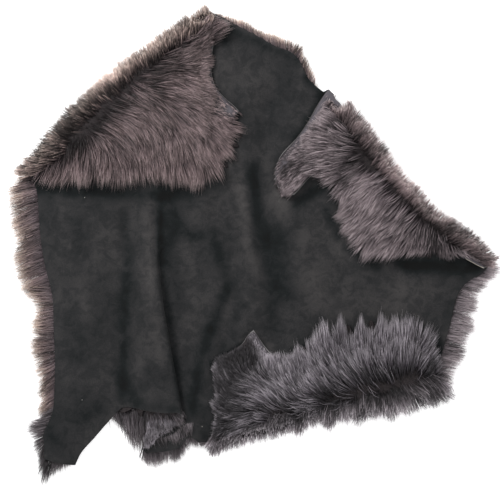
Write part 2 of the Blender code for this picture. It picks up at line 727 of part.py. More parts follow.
def main():
    for old in list(bpy.data.objects):
        bpy.data.objects.remove(old)
    outline = CutEdge()
    flat, triangles = flat_pattern(outline)
    place = middle_surface(flat, outline)
    leather = leather_side(flat, outline)
    skin = build_skin(place, leather, triangles)
    fleece = build_fleece(flat, place, leather, triangles, outline)
    set_on_origin([skin, fleece])


main()
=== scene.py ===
# %% [markdown]
# # A long-wool sheepskin, laid suede side up
#
# The real thing is one piece of tanned hide. One side is buffed to suede and on the other the wool still
# grows, fifty to sixty millimetres long. Here it lies wool side down, and three of its edges are turned over,
# so that their wool lies on top of the suede.
#
# Wool could be modelled as a lumpy surface with a bump map, as a hair system, or strand by strand. A lumpy
# surface has no loose tips at its outline, and a hair system isn't a mesh. So the strands are made here as
# thin closed spikes, joined into a few large meshes, and they grow from the wool side of the hide itself.

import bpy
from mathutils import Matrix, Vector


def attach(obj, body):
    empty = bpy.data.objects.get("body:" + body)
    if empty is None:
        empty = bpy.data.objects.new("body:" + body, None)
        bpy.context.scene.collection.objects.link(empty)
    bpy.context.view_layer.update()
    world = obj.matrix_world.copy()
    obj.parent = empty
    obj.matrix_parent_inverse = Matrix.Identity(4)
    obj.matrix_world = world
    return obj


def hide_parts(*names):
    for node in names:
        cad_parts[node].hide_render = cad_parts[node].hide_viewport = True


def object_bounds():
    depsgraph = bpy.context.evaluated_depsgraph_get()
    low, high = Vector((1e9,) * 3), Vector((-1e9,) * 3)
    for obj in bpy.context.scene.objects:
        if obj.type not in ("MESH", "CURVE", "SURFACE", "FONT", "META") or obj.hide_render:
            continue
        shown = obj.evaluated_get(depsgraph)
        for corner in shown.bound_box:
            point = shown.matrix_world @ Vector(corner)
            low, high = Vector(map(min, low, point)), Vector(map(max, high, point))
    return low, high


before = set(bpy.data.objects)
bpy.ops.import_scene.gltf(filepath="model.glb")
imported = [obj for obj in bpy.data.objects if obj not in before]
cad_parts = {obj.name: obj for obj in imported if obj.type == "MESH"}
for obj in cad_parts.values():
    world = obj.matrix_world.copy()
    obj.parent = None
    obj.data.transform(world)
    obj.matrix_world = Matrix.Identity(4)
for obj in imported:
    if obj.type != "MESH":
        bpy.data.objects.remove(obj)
cad_low, cad_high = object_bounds()
print("nodes", sorted(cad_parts), "size", [round(size, 3) for size in cad_high - cad_low])

# %% Modules and units
import math
from collections import namedtuple

import bmesh
import bpy
import numpy as np
from mathutils import Vector, kdtree, noise
from mathutils.bvhtree import BVHTree

MM = 0.001

# Plan places in the tables below are in mm from the middle of the photograph, +X to the right and +Y up.
PHOTO_MIDDLE = np.array([-9.9, -7.3]) * MM
PHOTO_WIDTH = 1000 * MM
TINY = 1e-9


def rows(kind, table):
    """The table's rows with the column names of that kind."""
    return tuple(kind(*row) for row in table)


def placed(table):
    """Plan places of a table's rows, in metres, in the frame."""
    return np.array([(row.x, row.y) for row in table]) * MM + PHOTO_MIDDLE


def smooth(low, high, value):
    """0 below low, 1 above high, and an easy curve between them."""
    share = np.clip((value - low) / (high - low), 0, 1)
    return share * share * (3 - 2 * share)


def unit(vectors):
    return vectors / np.maximum(np.linalg.norm(vectors, axis=-1, keepdims=True), TINY)


# %% [markdown]
# ## Colours and nodes
#
# Every colour is written as the sRGB hex value that a paint program would show. Blender's shaders work with
# linear light, so one function turns the one into the other. Another adds a node with its settings and links,
# which keeps each material short enough to read.

# %% Helpers for materials
def linear(hex_colour):
    """The linear RGBA of an sRGB hex colour."""
    channels = [int(hex_colour[at:at + 2], 16) / 255 for at in (1, 3, 5)]
    return (*[c / 12.92 if c <= 0.04045 else ((c + 0.055) / 1.055) ** 2.4 for c in channels], 1)


def socket(sockets, name):
    """The socket of that name that the node's mode uses."""
    return next(s for s in sockets if s.name == name and s.enabled)


def add_node(tree, kind, links=None, **settings):
    """A new node; settings are its attributes or inputs, and links go from output sockets to its inputs."""
    node = tree.nodes.new("ShaderNode" + kind)
    for name, value in settings.items():
        if hasattr(node, name):
            setattr(node, name, value)
        else:
            socket(node.inputs, name.replace("_", " ")).default_value = value
    for name, start in (links or {}).items():
        tree.links.new(start, socket(node.inputs, name))
    return node


def new_material(name, roughness, specular):
    """A material with a plain dielectric shader, its node tree and its shader."""
    made = bpy.data.materials.new(name)
    made.use_nodes = True
    shader = made.node_tree.nodes["Principled BSDF"]
    shader.inputs["Roughness"].default_value = roughness
    shader.inputs["Specular IOR Level"].default_value = specular
    return made, made.node_tree, shader


def set_ramp(ramp, stops):
    """Gives a colour ramp its (place, hex colour) stops."""
    elements = ramp.color_ramp.elements
    while len(elements) < len(stops):
        elements.new(0.5)
    for element, (place, colour) in zip(elements, stops):
        element.position = place
        element.color = linear(colour)


# %% [markdown]
# ## The suede
#
# Suede is hide with its flesh side buffed to a nap of short fibres. The nap scatters light, so it has almost
# no gloss but a faint sheen where it is seen at a slant. Where a hand has brushed it the other way it turns
# lighter or darker, in soft islands a few centimetres across. Three noises give that: broad patches, brushed
# islands and the grain of the nap, which is drawn coarser than its real quarter of a millimetre so that it
# shows.

# %% Suede material
SUEDE_PATCH = 110 * MM
SUEDE_ISLAND = 20 * MM
SUEDE_NAP = 2.4 * MM
NAP_HEIGHT = 0.25 * MM
NAP_AND_SHADE_TONE = "nap_and_shade_tone"  # the vertex attribute with the tone of the brushed nap, and the painted shade and highlights of the folds

Pinhole = namedtuple("Pinhole", "x y radius")  # mm; small holes show the pale core of the leather
PINHOLES = (Pinhole(-336, -311, 0.8), Pinhole(-96, -365, 0.9), Pinhole(-331, 94, 0.8))


def pinholes(tree, place):
    """How much of the pale core shows at a place: 1 in a pinhole, 0 elsewhere."""
    shown = None
    for row in PINHOLES:
        middle = (np.array([row.x, row.y]) * MM + PHOTO_MIDDLE).tolist()
        flat = add_node(tree, "VectorMath", {"Vector": place}, operation="MULTIPLY")
        flat.inputs[1].default_value = (1, 1, 0)
        away = add_node(tree, "VectorMath", {"Vector": flat.outputs["Vector"]}, operation="DISTANCE")
        away.inputs[1].default_value = (*middle, 0)
        near = add_node(tree, "Math", {"Value": away.outputs["Value"]}, operation="LESS_THAN")
        near.inputs[1].default_value = row.radius * MM
        if shown is None:
            shown = near.outputs["Value"]
        else:
            both = add_node(tree, "Math", operation="MAXIMUM")
            tree.links.new(shown, both.inputs[0])
            tree.links.new(near.outputs["Value"], both.inputs[1])
            shown = both.outputs["Value"]
    return shown


def suede(name, stops):
    """Suede with those colours from its darkest to its lightest nap."""
    made, tree, shader = new_material(name, 0.92, 0.2)
    place = add_node(tree, "TexCoord").outputs["Object"]
    patches = add_node(tree, "TexNoise", {"Vector": place}, Scale=1 / SUEDE_PATCH, Detail=4, Roughness=0.6)
    islands = add_node(tree, "TexNoise", {"Vector": place}, Scale=1 / SUEDE_ISLAND, Detail=5, Roughness=0.6,
                       Distortion=0.7)
    nap = add_node(tree, "TexNoise", {"Vector": place}, Scale=1 / SUEDE_NAP, Detail=3, Roughness=0.7)
    edged = add_node(tree, "MapRange", {"Value": islands.outputs["Fac"]}, interpolation_type="SMOOTHSTEP",
                     From_Min=0.36, From_Max=0.60)
    both = add_node(tree, "Mix", {"A": patches.outputs["Fac"], "B": edged.outputs["Result"]}, Factor=0.17)
    grained = add_node(tree, "Mix", {"A": both.outputs["Result"], "B": nap.outputs["Fac"]}, Factor=0.35)
    # The attribute holds the brushed nap's tone with painted shade in the folds, painted shadows under the
    # turned edges and painted highlights on the ridges.
    nap_and_painted_shade = add_node(tree, "Attribute", attribute_name=NAP_AND_SHADE_TONE)
    tone = add_node(tree, "Math", {"Value": grained.outputs["Result"]}, operation="ADD")
    tree.links.new(nap_and_painted_shade.outputs["Fac"], tone.inputs[1])
    tones = add_node(tree, "ValToRGB", {"Fac": tone.outputs["Value"]})
    set_ramp(tones, stops)
    pierced = add_node(tree, "Mix", data_type="RGBA")
    tree.links.new(pinholes(tree, place), socket(pierced.inputs, "Factor"))
    tree.links.new(tones.outputs["Color"], socket(pierced.inputs, "A"))
    socket(pierced.inputs, "B").default_value = linear("#8a8782")
    tree.links.new(socket(pierced.outputs, "Result"), shader.inputs["Base Color"])
    bump = add_node(tree, "Bump", {"Height": nap.outputs["Fac"]}, Strength=0.5, Distance=NAP_HEIGHT)
    tree.links.new(bump.outputs["Normal"], shader.inputs["Normal"])
    shader.inputs["Sheen Weight"].default_value = 0.08
    shader.inputs["Sheen Roughness"].default_value = 0.6
    shader.inputs["Sheen Tint"].default_value = linear("#8a8a8a")
    return made


# Drum-dyed suede, brushed by hand: nearly black with a breath of green where the nap lies away from the
# light and in the painted shade of the folds and under the turned edges, charcoal where it lies towards it
# and on the painted highlights of the ridges.
SUEDE = suede("suede_brushed_nap_painted_shade", [(0.05, "#030404"), (0.28, "#0e1213"), (0.5, "#232324"), (0.72, "#383636"),
                                    (0.95, "#504e4c")])
# The same hide cut with a knife and dyed after it: a paler, rougher line round the turned edges.
CUT_EDGE = suede("suede_cut_edge", [(0.3, "#4a4848"), (0.5, "#6b6969"), (0.7, "#8f8c8c")])
# The undyed core of the hide, trimmed last: a cream line at one curled corner.
RAW_EDGE = suede("leather_raw_edge", [(0.3, "#b8b0a4"), (0.5, "#d8d2c6"), (0.7, "#efe9de")])
print("suede materials", SUEDE.name, CUT_EDGE.name, RAW_EDGE.name)

# %% [markdown]
# ## The wool
#
# Long wool on a dressed skin is straight, soft and slightly glossy, dyed taupe with dark roots and paler
# tips. A strand's colour depends only on how far it is along the strand and on the strand's own tone, so the
# material reads just one small UV map: V runs from the root to the tip and U holds the tone. All strands of
# one tone share one column of the map.

# %% Wool material
UV_NAME = "OFBake"
TONES = 24


def wool(name, colours, spread):
    """Wool with those four colours from root to tip. spread is how far its tones lie apart."""
    made, tree, shader = new_material(name, 0.5, 0.4)
    place = add_node(tree, "UVMap", uv_map=UV_NAME)
    parts = add_node(tree, "SeparateXYZ", {"Vector": place.outputs["UV"]})
    along = add_node(tree, "ValToRGB", {"Fac": parts.outputs["Y"]})
    set_ramp(along, list(zip((0.0, 0.3, 0.65, 1.0), colours)))
    tone = add_node(tree, "MapRange", {"Value": parts.outputs["X"]}, To_Min=1 - spread, To_Max=1 + spread)
    toned = add_node(tree, "Mix", data_type="RGBA", blend_type="MULTIPLY")
    socket(toned.inputs, "Factor").default_value = 1
    tree.links.new(along.outputs["Color"], socket(toned.inputs, "A"))
    tree.links.new(tone.outputs["Result"], socket(toned.inputs, "B"))
    tree.links.new(socket(toned.outputs, "Result"), shader.inputs["Base Color"])
    return made


TONE_SPREAD = 0.9
# Dyed and combed long wool. Its roots are in the shade of the locks and its tips catch the light, so each
# kind runs from nearly black to a soft grey; the dye came out warmer on the upper left and cooler below.
WARM_WOOL = wool("wool_taupe_warm", ("#1b1416", "#473b3d", "#897879", "#b4a4a2"), TONE_SPREAD)
COOL_WOOL = wool("wool_taupe_cool", ("#1a1719", "#49434a", "#868086", "#aca6ab"), TONE_SPREAD)
TAUPE_WOOL = wool("wool_taupe", ("#1a1517", "#4a4145", "#8f8386", "#b9acaf"), TONE_SPREAD)
# The same wool thinned out at the rim of a turned edge, where light comes through it: pale, creamy tips.
WARM_RIM = wool("wool_warm_rim", ("#1f1718", "#4c3f40", "#a38f88", "#f6e4d8"), TONE_SPREAD)
TAUPE_RIM = wool("wool_taupe_rim", ("#231b1c", "#4c4142", "#867677", "#e6d8d5"), TONE_SPREAD)
COOL_RIM = wool("wool_cool_rim", ("#1a1718", "#3f3a3d", "#8e868b", "#f0e9ee"), TONE_SPREAD)
# Wool from under the sheet, seen from its skin side, so it is paler at its roots than the wool on top.
WARM_FRINGE = wool("wool_warm_fringe", ("#393135", "#554a4e", "#806f6e", "#ead5c6"), TONE_SPREAD)
TAUPE_FRINGE = wool("wool_taupe_fringe", ("#332d30", "#6a6266", "#a2979b", "#dcd2d5"), TONE_SPREAD)
COOL_FRINGE = wool("wool_cool_fringe", ("#1e1b1d", "#454043", "#716a6e", "#a49b9e"), TONE_SPREAD)
PILE_AND_SHEEN_TONE = "pile_and_sheen_tone"  # the vertex attribute that says how far the wool is worn down to a short, light pile, and where that pale pile is a painted sheen


def root_wool(name, dark, light, pile_and_sheen):
    """The mat of fine wool next to the skin: dark and streaky, or pale where only a short pile covers it or a
    sheen is painted.
    """
    made, tree, shader = new_material(name, 0.75, 0.2)
    place = add_node(tree, "TexCoord").outputs["Object"]
    streaks = add_node(tree, "TexNoise", {"Vector": place}, Scale=1 / (3 * MM), Detail=4, Roughness=0.7)
    tones = add_node(tree, "ValToRGB", {"Fac": streaks.outputs["Fac"]})
    set_ramp(tones, [(0.35, dark), (0.65, light)])
    piled = add_node(tree, "Mix", data_type="RGBA")
    tree.links.new(add_node(tree, "Attribute", attribute_name=PILE_AND_SHEEN_TONE).outputs["Fac"],
                   socket(piled.inputs, "Factor"))
    tree.links.new(tones.outputs["Color"], socket(piled.inputs, "A"))
    socket(piled.inputs, "B").default_value = linear(pile_and_sheen)
    tree.links.new(socket(piled.outputs, "Result"), shader.inputs["Base Color"])
    bump = add_node(tree, "Bump", {"Height": streaks.outputs["Fac"]}, Strength=0.7, Distance=1 * MM)
    tree.links.new(bump.outputs["Normal"], shader.inputs["Normal"])
    return made


# Matted, undyed-looking fine wool deep between the locks: dark, dull and streaky, its darkness partly painted
# shade of the deep pile. Its pale pile shows worn wool, and on the peak of the bottom turned edge a painted
# sheen.
UNDERFUR_AND_SHADE = root_wool("wool_underfur_and_shade", "#120f10", "#2e2829", "#565257")
# Wool shorn close to the skin at the edge: a short, even pile with a bluish grey sheen.
CLIPPED = root_wool("wool_clipped_short", "#262324", "#4a4546", "#565257")
print("wool materials", [look.name for look in bpy.data.materials if look.name.startswith("wool")])


# %% [markdown]
# ## The hide
#
# The CAD skin already has the outline, the turned edges and the pleat. Its copy gets what a cut sheet has in
# real life: a square cut edge, kept narrow by a strip of faces on each side of it, corners that
# stay sharp, and a surface that is smooth between its points. A Subdivision Surface does the smoothing,
# because it rounds the bends and leaves the cut edge alone where the strips hold it.

# %% The hide's shape
MERGE = 0.02 * MM
WOOL_SIDE = 1.0 * MM  # the wool side of the skin lies nearer to the fleece than this
EDGE_STRIP = 1.6 * MM
SHARP_TURN = math.radians(38)
FLAT_ENOUGH = math.radians(12)
SQUARE_ENOUGH = math.radians(50)
CORNER_SHARPNESS = 0.9
HIDE_LEVELS = 2
MAT_LEVELS = 1


def copied(node):
    """A bmesh of the CAD node, its loose triangles joined at their corners."""
    shape = bmesh.new()
    shape.from_mesh(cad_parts[node].data)
    bmesh.ops.remove_doubles(shape, verts=shape.verts, dist=MERGE)
    return shape


def linked(mesh, name):
    made = bpy.data.objects.new(name, mesh)
    bpy.context.scene.collection.objects.link(made)
    return made


def subdivided(shape, name, levels):
    """An object with the bmesh's shape after a Subdivision Surface, its faces shaded smooth."""
    mesh = bpy.data.meshes.new(name + "_cage")
    shape.to_mesh(mesh)
    cage = linked(mesh, name + "_cage")
    rounding = cage.modifiers.new("rounding", "SUBSURF")
    rounding.levels = rounding.render_levels = levels
    evaluated = cage.evaluated_get(bpy.context.evaluated_depsgraph_get())
    finished = bpy.data.meshes.new_from_object(evaluated)
    finished.name = name
    bpy.data.objects.remove(cage)
    finished.shade_smooth()
    return linked(finished, name)


def turn_at(vert, outline):
    """How sharply the outline turns at a vertex."""
    ends = [edge.other_vert(vert).co - vert.co for edge in vert.link_edges if edge in outline]
    return math.pi - ends[0].angle(ends[1]) if len(ends) == 2 else 0


fleece_shape = copied("fleece")
fleece_tree = BVHTree.FromBMesh(fleece_shape)
hide_shape = copied("skin")
woolly = {vert for vert in hide_shape.verts if fleece_tree.find_nearest(vert.co)[3] < WOOL_SIDE}
wool_faces = [face for face in hide_shape.faces if woolly.issuperset(face.verts)]
suede_faces = [face for face in hide_shape.faces if woolly.isdisjoint(face.verts)]
rim_faces = list(set(hide_shape.faces) - set(wool_faces) - set(suede_faces))
print("wool side", len(wool_faces), "suede side", len(suede_faces), "cut edge", len(rim_faces))

# %% Sharp corners, narrow edges and materials by side
SUEDE_SLOT, WOOL_SLOT, EDGE_SLOT, RAW_SLOT = range(4)
RAW_EDGE_BOX = ((425, -62), (470, -25))  # mm: where the pale inside of the leather shows at the cut edge
LOWEST_FLAP = 31 * MM  # a cut edge above this height belongs to a turned edge

creases = hide_shape.verts.layers.float.new("crease_vert")
rims = set(rim_faces)
outline = {edge for edge in hide_shape.edges if len(rims.intersection(edge.link_faces)) == 1}
for vert in hide_shape.verts:
    if turn_at(vert, outline) > SHARP_TURN:
        vert[creases] = CORNER_SHARPNESS

raw_low, raw_high = (np.array(corner) * MM + PHOTO_MIDDLE for corner in RAW_EDGE_BOX)


def edge_slot(face):
    """The material of a face at the cut edge: pale at one curled corner, grey on the turned edges."""
    middle = face.calc_center_median()
    if raw_low[0] < middle.x < raw_high[0] and raw_low[1] < middle.y < raw_high[1] and middle.z > LOWEST_FLAP:
        return RAW_SLOT
    return EDGE_SLOT if middle.z > LOWEST_FLAP else SUEDE_SLOT


for face in hide_shape.faces:
    face.material_index = SUEDE_SLOT
for face in wool_faces:
    face.material_index = WOOL_SLOT
for face in rim_faces:
    face.material_index = edge_slot(face)
for side in (wool_faces, suede_faces):
    strip = bmesh.ops.inset_region(hide_shape, faces=side, thickness=EDGE_STRIP,
                                   use_even_offset=True)["faces"]
    for face in strip:
        if side is wool_faces or edge_slot(face) == RAW_SLOT:
            face.material_index = edge_slot(face)
bmesh.ops.join_triangles(hide_shape, faces=hide_shape.faces, angle_face_threshold=FLAT_ENOUGH,
                         angle_shape_threshold=SQUARE_ENOUGH, cmp_materials=True)
hide = subdivided(hide_shape, "hide", HIDE_LEVELS)
for look in (SUEDE, CLIPPED, CUT_EDGE, RAW_EDGE):
    hide.data.materials.append(look)
print("hide", len(hide.data.vertices), "vertices", len(hide.data.polygons), "faces")

# %% [markdown]
# ## Small creases
#
# The frame has the drape's long ridges. A hide also keeps shallow waves and a few short creases from being
# folded away, a millimetre or two high. How far a point moves depends on its place in the plan alone, so both
# sides of the leather and the layers on top of each other move together. Nothing is moved below the floor.

# %% Waves and creases in the leather
WAVE_HEIGHT = 1.1 * MM
WAVE_SIZE = 55 * MM
WAVE_SETTINGS = (0.7, 2.0, 2)  # how rough, how much finer each octave is, and how many

Crease = namedtuple("Crease", "x1 y1 x2 y2 height half_width")  # mm
CREASES = rows(Crease, (
    (-184, 45, -184, -40, 1.2, 5), (-180, -49, -150, -50, 1.0, 5), (36, 265, 33, 231, 1.2, 5),
    (8, 149, 12, 60, -2.0, 10), (12, 60, 32, -80, -2.0, 12), (-16, 100, 4, -40, 1.8, 14),
    (54, 90, 80, 30, 1.5, 14), (-74, 20, -40, -80, -1.6, 12), (-60, -130, -112, -320, -2.0, 10),
    (-252, 50, -250, -300, -1.8, 10), (-206, 100, -196, -140, 1.6, 12), (128, 80, 190, 20, -1.2, 14),
    (210, -90, 330, -100, 1.2, 12), (-400, -30, -360, -10, 1.0, 6), (-330, -60, -300, -140, 1.2, 14),
    (-380, -200, -300, -215, 1.0, 14),
))


def from_line(points, row):
    """Plan distance of points from a row's line, in units of its half width."""
    start = np.array([row.x1, row.y1]) * MM + PHOTO_MIDDLE
    line = np.array([row.x2, row.y2]) * MM + PHOTO_MIDDLE - start
    share = np.clip((points[:, :2] - start) @ line / max(line @ line, TINY), 0, 1)
    return np.linalg.norm(points[:, :2] - start - share[:, None] * line, axis=1) / (row.half_width * MM)


def drawn(points, table, column):
    """Sum over the lines of a smooth bell across each. Rows that follow on from each other are one line."""
    total, line, end = 0, 0, None
    for row in table:
        bell = getattr(row, column) * np.exp(-(from_line(points, row) ** 2))
        if (row.x1, row.y1) == end:
            line = np.where(np.abs(bell) > np.abs(line), bell, line)
        else:
            total, line = total + line, bell
        end = (row.x2, row.y2)
    return total + line


def points_of(made):
    points = np.empty(len(made.data.vertices) * 3)
    made.data.vertices.foreach_get("co", points)
    return points.reshape(-1, 3)


def crease(made):
    """Moves an object's vertices up or down with the waves and creases."""
    points = points_of(made)
    waves = [noise.fractal(Vector((x, y, 0)) / WAVE_SIZE, *WAVE_SETTINGS) for x, y, _ in points]
    moved = WAVE_HEIGHT * np.array(waves) + MM * drawn(points, CREASES, "height")
    points[:, 2] = np.maximum(points[:, 2] + moved, 0)
    made.data.vertices.foreach_set("co", points.ravel())
    made.data.update()
    print(made.name, "moved by up to", round(float(np.abs(moved).max() / MM), 2), "mm")


crease(hide)

# %% [markdown]
# ## The brushed nap and painted shade
#
# On the real hide the nap lies this way or that along each fold, and it is darker where it leans away from
# the light. The strokes below paint that tone together with shade: painted shade in the valleys of the folds,
# painted shadows under the turned edges and along their cut edges, and painted highlights on the ridges. That
# tone follows the folds, so it is kept at the vertices: each row below is a soft stroke, as from a wide
# brush, and the suede reads the sum.

# %% Tones of the nap and painted shade
Stroke = namedtuple("Stroke", "x1 y1 x2 y2 half_width tone")  # mm, and a part of the ramp
STROKES = rows(Stroke, (
    (6, 149, 16, 53, 13, -0.29), (16, 53, 34, -1, 15, -0.22), (34, -1, 50, -91, 24, -0.18),
    (50, -91, 42, -171, 20, -0.14), (60, 21, 74, -101, 24, -0.1), (-18, 109, -8, 9, 14, 0.13),
    (-8, 9, 10, -51, 12, 0.12), (0, -111, -20, -151, 12, 0.08), (54, 109, 70, 39, 13, 0.1),
    (100, 9, 130, -91, 22, 0.06), (-74, 21, -56, -41, 10, -0.12), (-56, -41, -40, -85, 12, -0.12),
    (-48, -91, -76, -171, 10, -0.14), (-80, -171, -106, -251, 11, -0.18),
    (-106, -251, -114, -341, 9, -0.22), (-166, 105, -150, 25, 22, -0.2), (-150, 25, -96, 17, 10, -0.2),
    (-178, 60, -178, -40, 7, -0.12), (-164, 4, -164, -36, 12, -0.12), (-130, -20, -110, -111, 20, 0.08),
    (-120, -151, -140, -251, 14, 0.02), (-206, 105, -204, -11, 10, 0.04), (-204, -11, -192, -111, 10, 0.09),
    (-192, -111, -180, -231, 10, 0.08), (-180, 89, -180, 9, 6, -0.2), (-178, -1, -166, -111, 6, -0.12),
    (-164, -121, -140, -311, 7, -0.14), (-252, 59, -246, -55, 11, -0.14), (-246, -55, -252, -171, 10, -0.2),
    (-252, -171, -258, -311, 9, -0.18), (-40, -121, -62, -191, 11, 0.08), (-402, 85, -396, -15, 16, -0.06),
    (-238, -35, -230, -111, 12, -0.08), (-246, -215, -240, -271, 14, -0.06),
    (-130, -215, -126, -335, 10, -0.08), (110, -30, 160, -40, 16, -0.06), (-84, -231, -84, -311, 10, 0.04),
    (-92, -325, -92, -385, 12, -0.1), (-28, -151, -10, -121, 10, -0.1), (94, 83, 140, 111, 10, -0.3),
    (150, 71, 180, 9, 8, -0.14), (190, -5, 260, -51, 8, -0.14), (-430, 109, -120, 97, 12, -0.2),
    (-120, 97, -70, 119, 10, -0.08), (320, -45, 450, -47, 14, -0.34), (300, -41, 400, -35, 10, -0.2),
    (-56, 441, 24, 399, 8, -0.14), (24, 399, 94, 373, 8, -0.14), (-72, 421, -44, 405, 10, -0.22),
    (-80, 389, -76, 329, 6, -0.12), (-70, 309, -24, 261, 6, -0.1), (68, 359, 60, 299, 16, -0.07),
    (116, 333, 148, 301, 12, -0.22), (144, 293, 96, 209, 10, -0.22), (96, 209, 66, 159, 8, -0.16),
    (-60, 359, 0, 309, 30, 0.05), (40, 289, 44, 229, 12, -0.08), (106, 349, 100, 311, 7, 0.08),
    (34, 265, 32, 231, 3, 0.1), (110, -209, 112, -219, 9, -0.3), (374, -187, 384, -221, 8, -0.24),
    (-82, -241, -16, -201, 4, -0.22), (-342, 29, -338, -9, 24, -0.06), (-370, -1, -360, -3, 6, 0.1),
    (-340, -93, -330, -131, 14, 0.07), (-346, -101, -344, -121, 4, -0.12),
    (-340, -231, -340, -231, 12, -0.14), (-400, -189, -398, -390, 10, -0.08),
    (-200, -171, -230, -251, 14, 0.05), (200, -120, 330, -130, 30, 0.04), (160, -100, 180, -60, 12, -0.08),
    (300, -90, 400, -100, 16, 0.05), (-330, -291, -280, -301, 24, -0.05),
    (-200, -261, -160, -271, 14, -0.06), (-384, -405, -350, -441, 16, -0.04),
    (-262, -262, -228, -318, 16, -0.2), (-210, -322, -150, -326, 8, -0.1),
    (-345, -350, -300, -330, 18, -0.1),
))

STROKE_STRENGTH = 1.3

nap_and_shade_tone = hide.data.attributes.new(NAP_AND_SHADE_TONE, "FLOAT", "POINT")
nap_and_shade_tone.data.foreach_set("value", STROKE_STRENGTH * drawn(points_of(hide), STROKES, "tone"))
print(len(STROKES), "strokes on the nap")

# %% [markdown]
# ## Where the wool grows
#
# The strands need roots, spread evenly by area over the wool side, each with the direction that points out of
# the leather there. They also need the height of the leather under them, so that a strand that leaves the
# edge of a flap comes down on the suede beneath it. A height map seen from above serves for that.

# %% The wool side as arrays
Ground = namedtuple("Ground", "corners normals")


def wool_ground():
    """Triangles of the wool side: their corners and the smooth directions at them."""
    points = points_of(hide)
    hide.data.calc_loop_triangles()
    chosen = [triangle.vertices[:] for triangle in hide.data.loop_triangles
              if triangle.material_index == WOOL_SLOT]
    triangles = np.array(chosen)
    corners = points[triangles]
    faces = np.cross(corners[:, 1] - corners[:, 0], corners[:, 2] - corners[:, 0])
    directions = np.zeros_like(points)
    for corner in range(3):
        np.add.at(directions, triangles[:, corner], faces)
    return Ground(corners, unit(directions)[triangles])


def low_cut_edge():
    """Points along the cut edge of the wool side where that side looks down."""
    points = points_of(hide)
    woolly = [face for face in hide.data.polygons if face.material_index == WOOL_SLOT]
    edge = {v for face in hide.data.polygons if face.material_index != WOOL_SLOT for v in face.vertices}
    return points[sorted({v for face in woolly if face.normal.z < 0 for v in face.vertices} & edge)]


ground = wool_ground()
edge_points = low_cut_edge()
areas = np.linalg.norm(np.cross(ground.corners[:, 1] - ground.corners[:, 0],
                                ground.corners[:, 2] - ground.corners[:, 0]), axis=1) / 2
print("wool side", round(float(areas.sum()), 3), "m2,", len(edge_points), "points on its low cut edge")

# %% The leather's height from above
MAP_STEP = 5 * MM
MAP_MARGIN = 60 * MM  # past the CAD solids, for the strands' tips
FROM_ABOVE = 0.5
INSIDE = 1.001  # taken off the map's number of lines: a place stays just short of the last one


class HeightMap:
    """Height of the leather's top, seen from above, on an even grid; 0 beside it."""

    def __init__(self, made):
        tree = BVHTree.FromObject(made, bpy.context.evaluated_depsgraph_get())
        self.low = np.array(cad_low[:2]) - MAP_MARGIN
        size = np.array(cad_high[:2]) + MAP_MARGIN - self.low
        count = np.ceil(size / MAP_STEP).astype(int) + 1
        self.height = np.zeros(count)
        for i, j in np.ndindex(*count):
            start = (*(self.low + np.array([i, j]) * MAP_STEP), FROM_ABOVE)
            hit = tree.ray_cast(start, (0, 0, -1))[0]
            self.height[i, j] = hit.z if hit else 0

    def at(self, x, y):
        """Height at those places, between the grid's points."""
        last = np.array(self.height.shape) - INSIDE
        u = np.clip((x - self.low[0]) / MAP_STEP, 0, last[0])
        v = np.clip((y - self.low[1]) / MAP_STEP, 0, last[1])
        i, j = u.astype(int), v.astype(int)
        du, dv = u - i, v - j
        h = self.height
        return (h[i, j] * (1 - du) * (1 - dv) + h[i + 1, j] * du * (1 - dv)
                + h[i, j + 1] * (1 - du) * dv + h[i + 1, j + 1] * du * dv)


leather_top = HeightMap(hide)
print("height map", leather_top.height.shape, "highest", round(float(leather_top.height.max() / MM), 1), "mm")

# %% [markdown]
# ## Combing
#
# Wool lies the way that it was combed or fell. Two tables say how, read off the photograph: one for the wool
# on top of the turned edges and one for the wool that stands out past the folds and the cut edge. heading is
# the way that the strands point, in degrees anticlockwise from +X. Between the rows a strand takes a mean in
# which near rows count most.

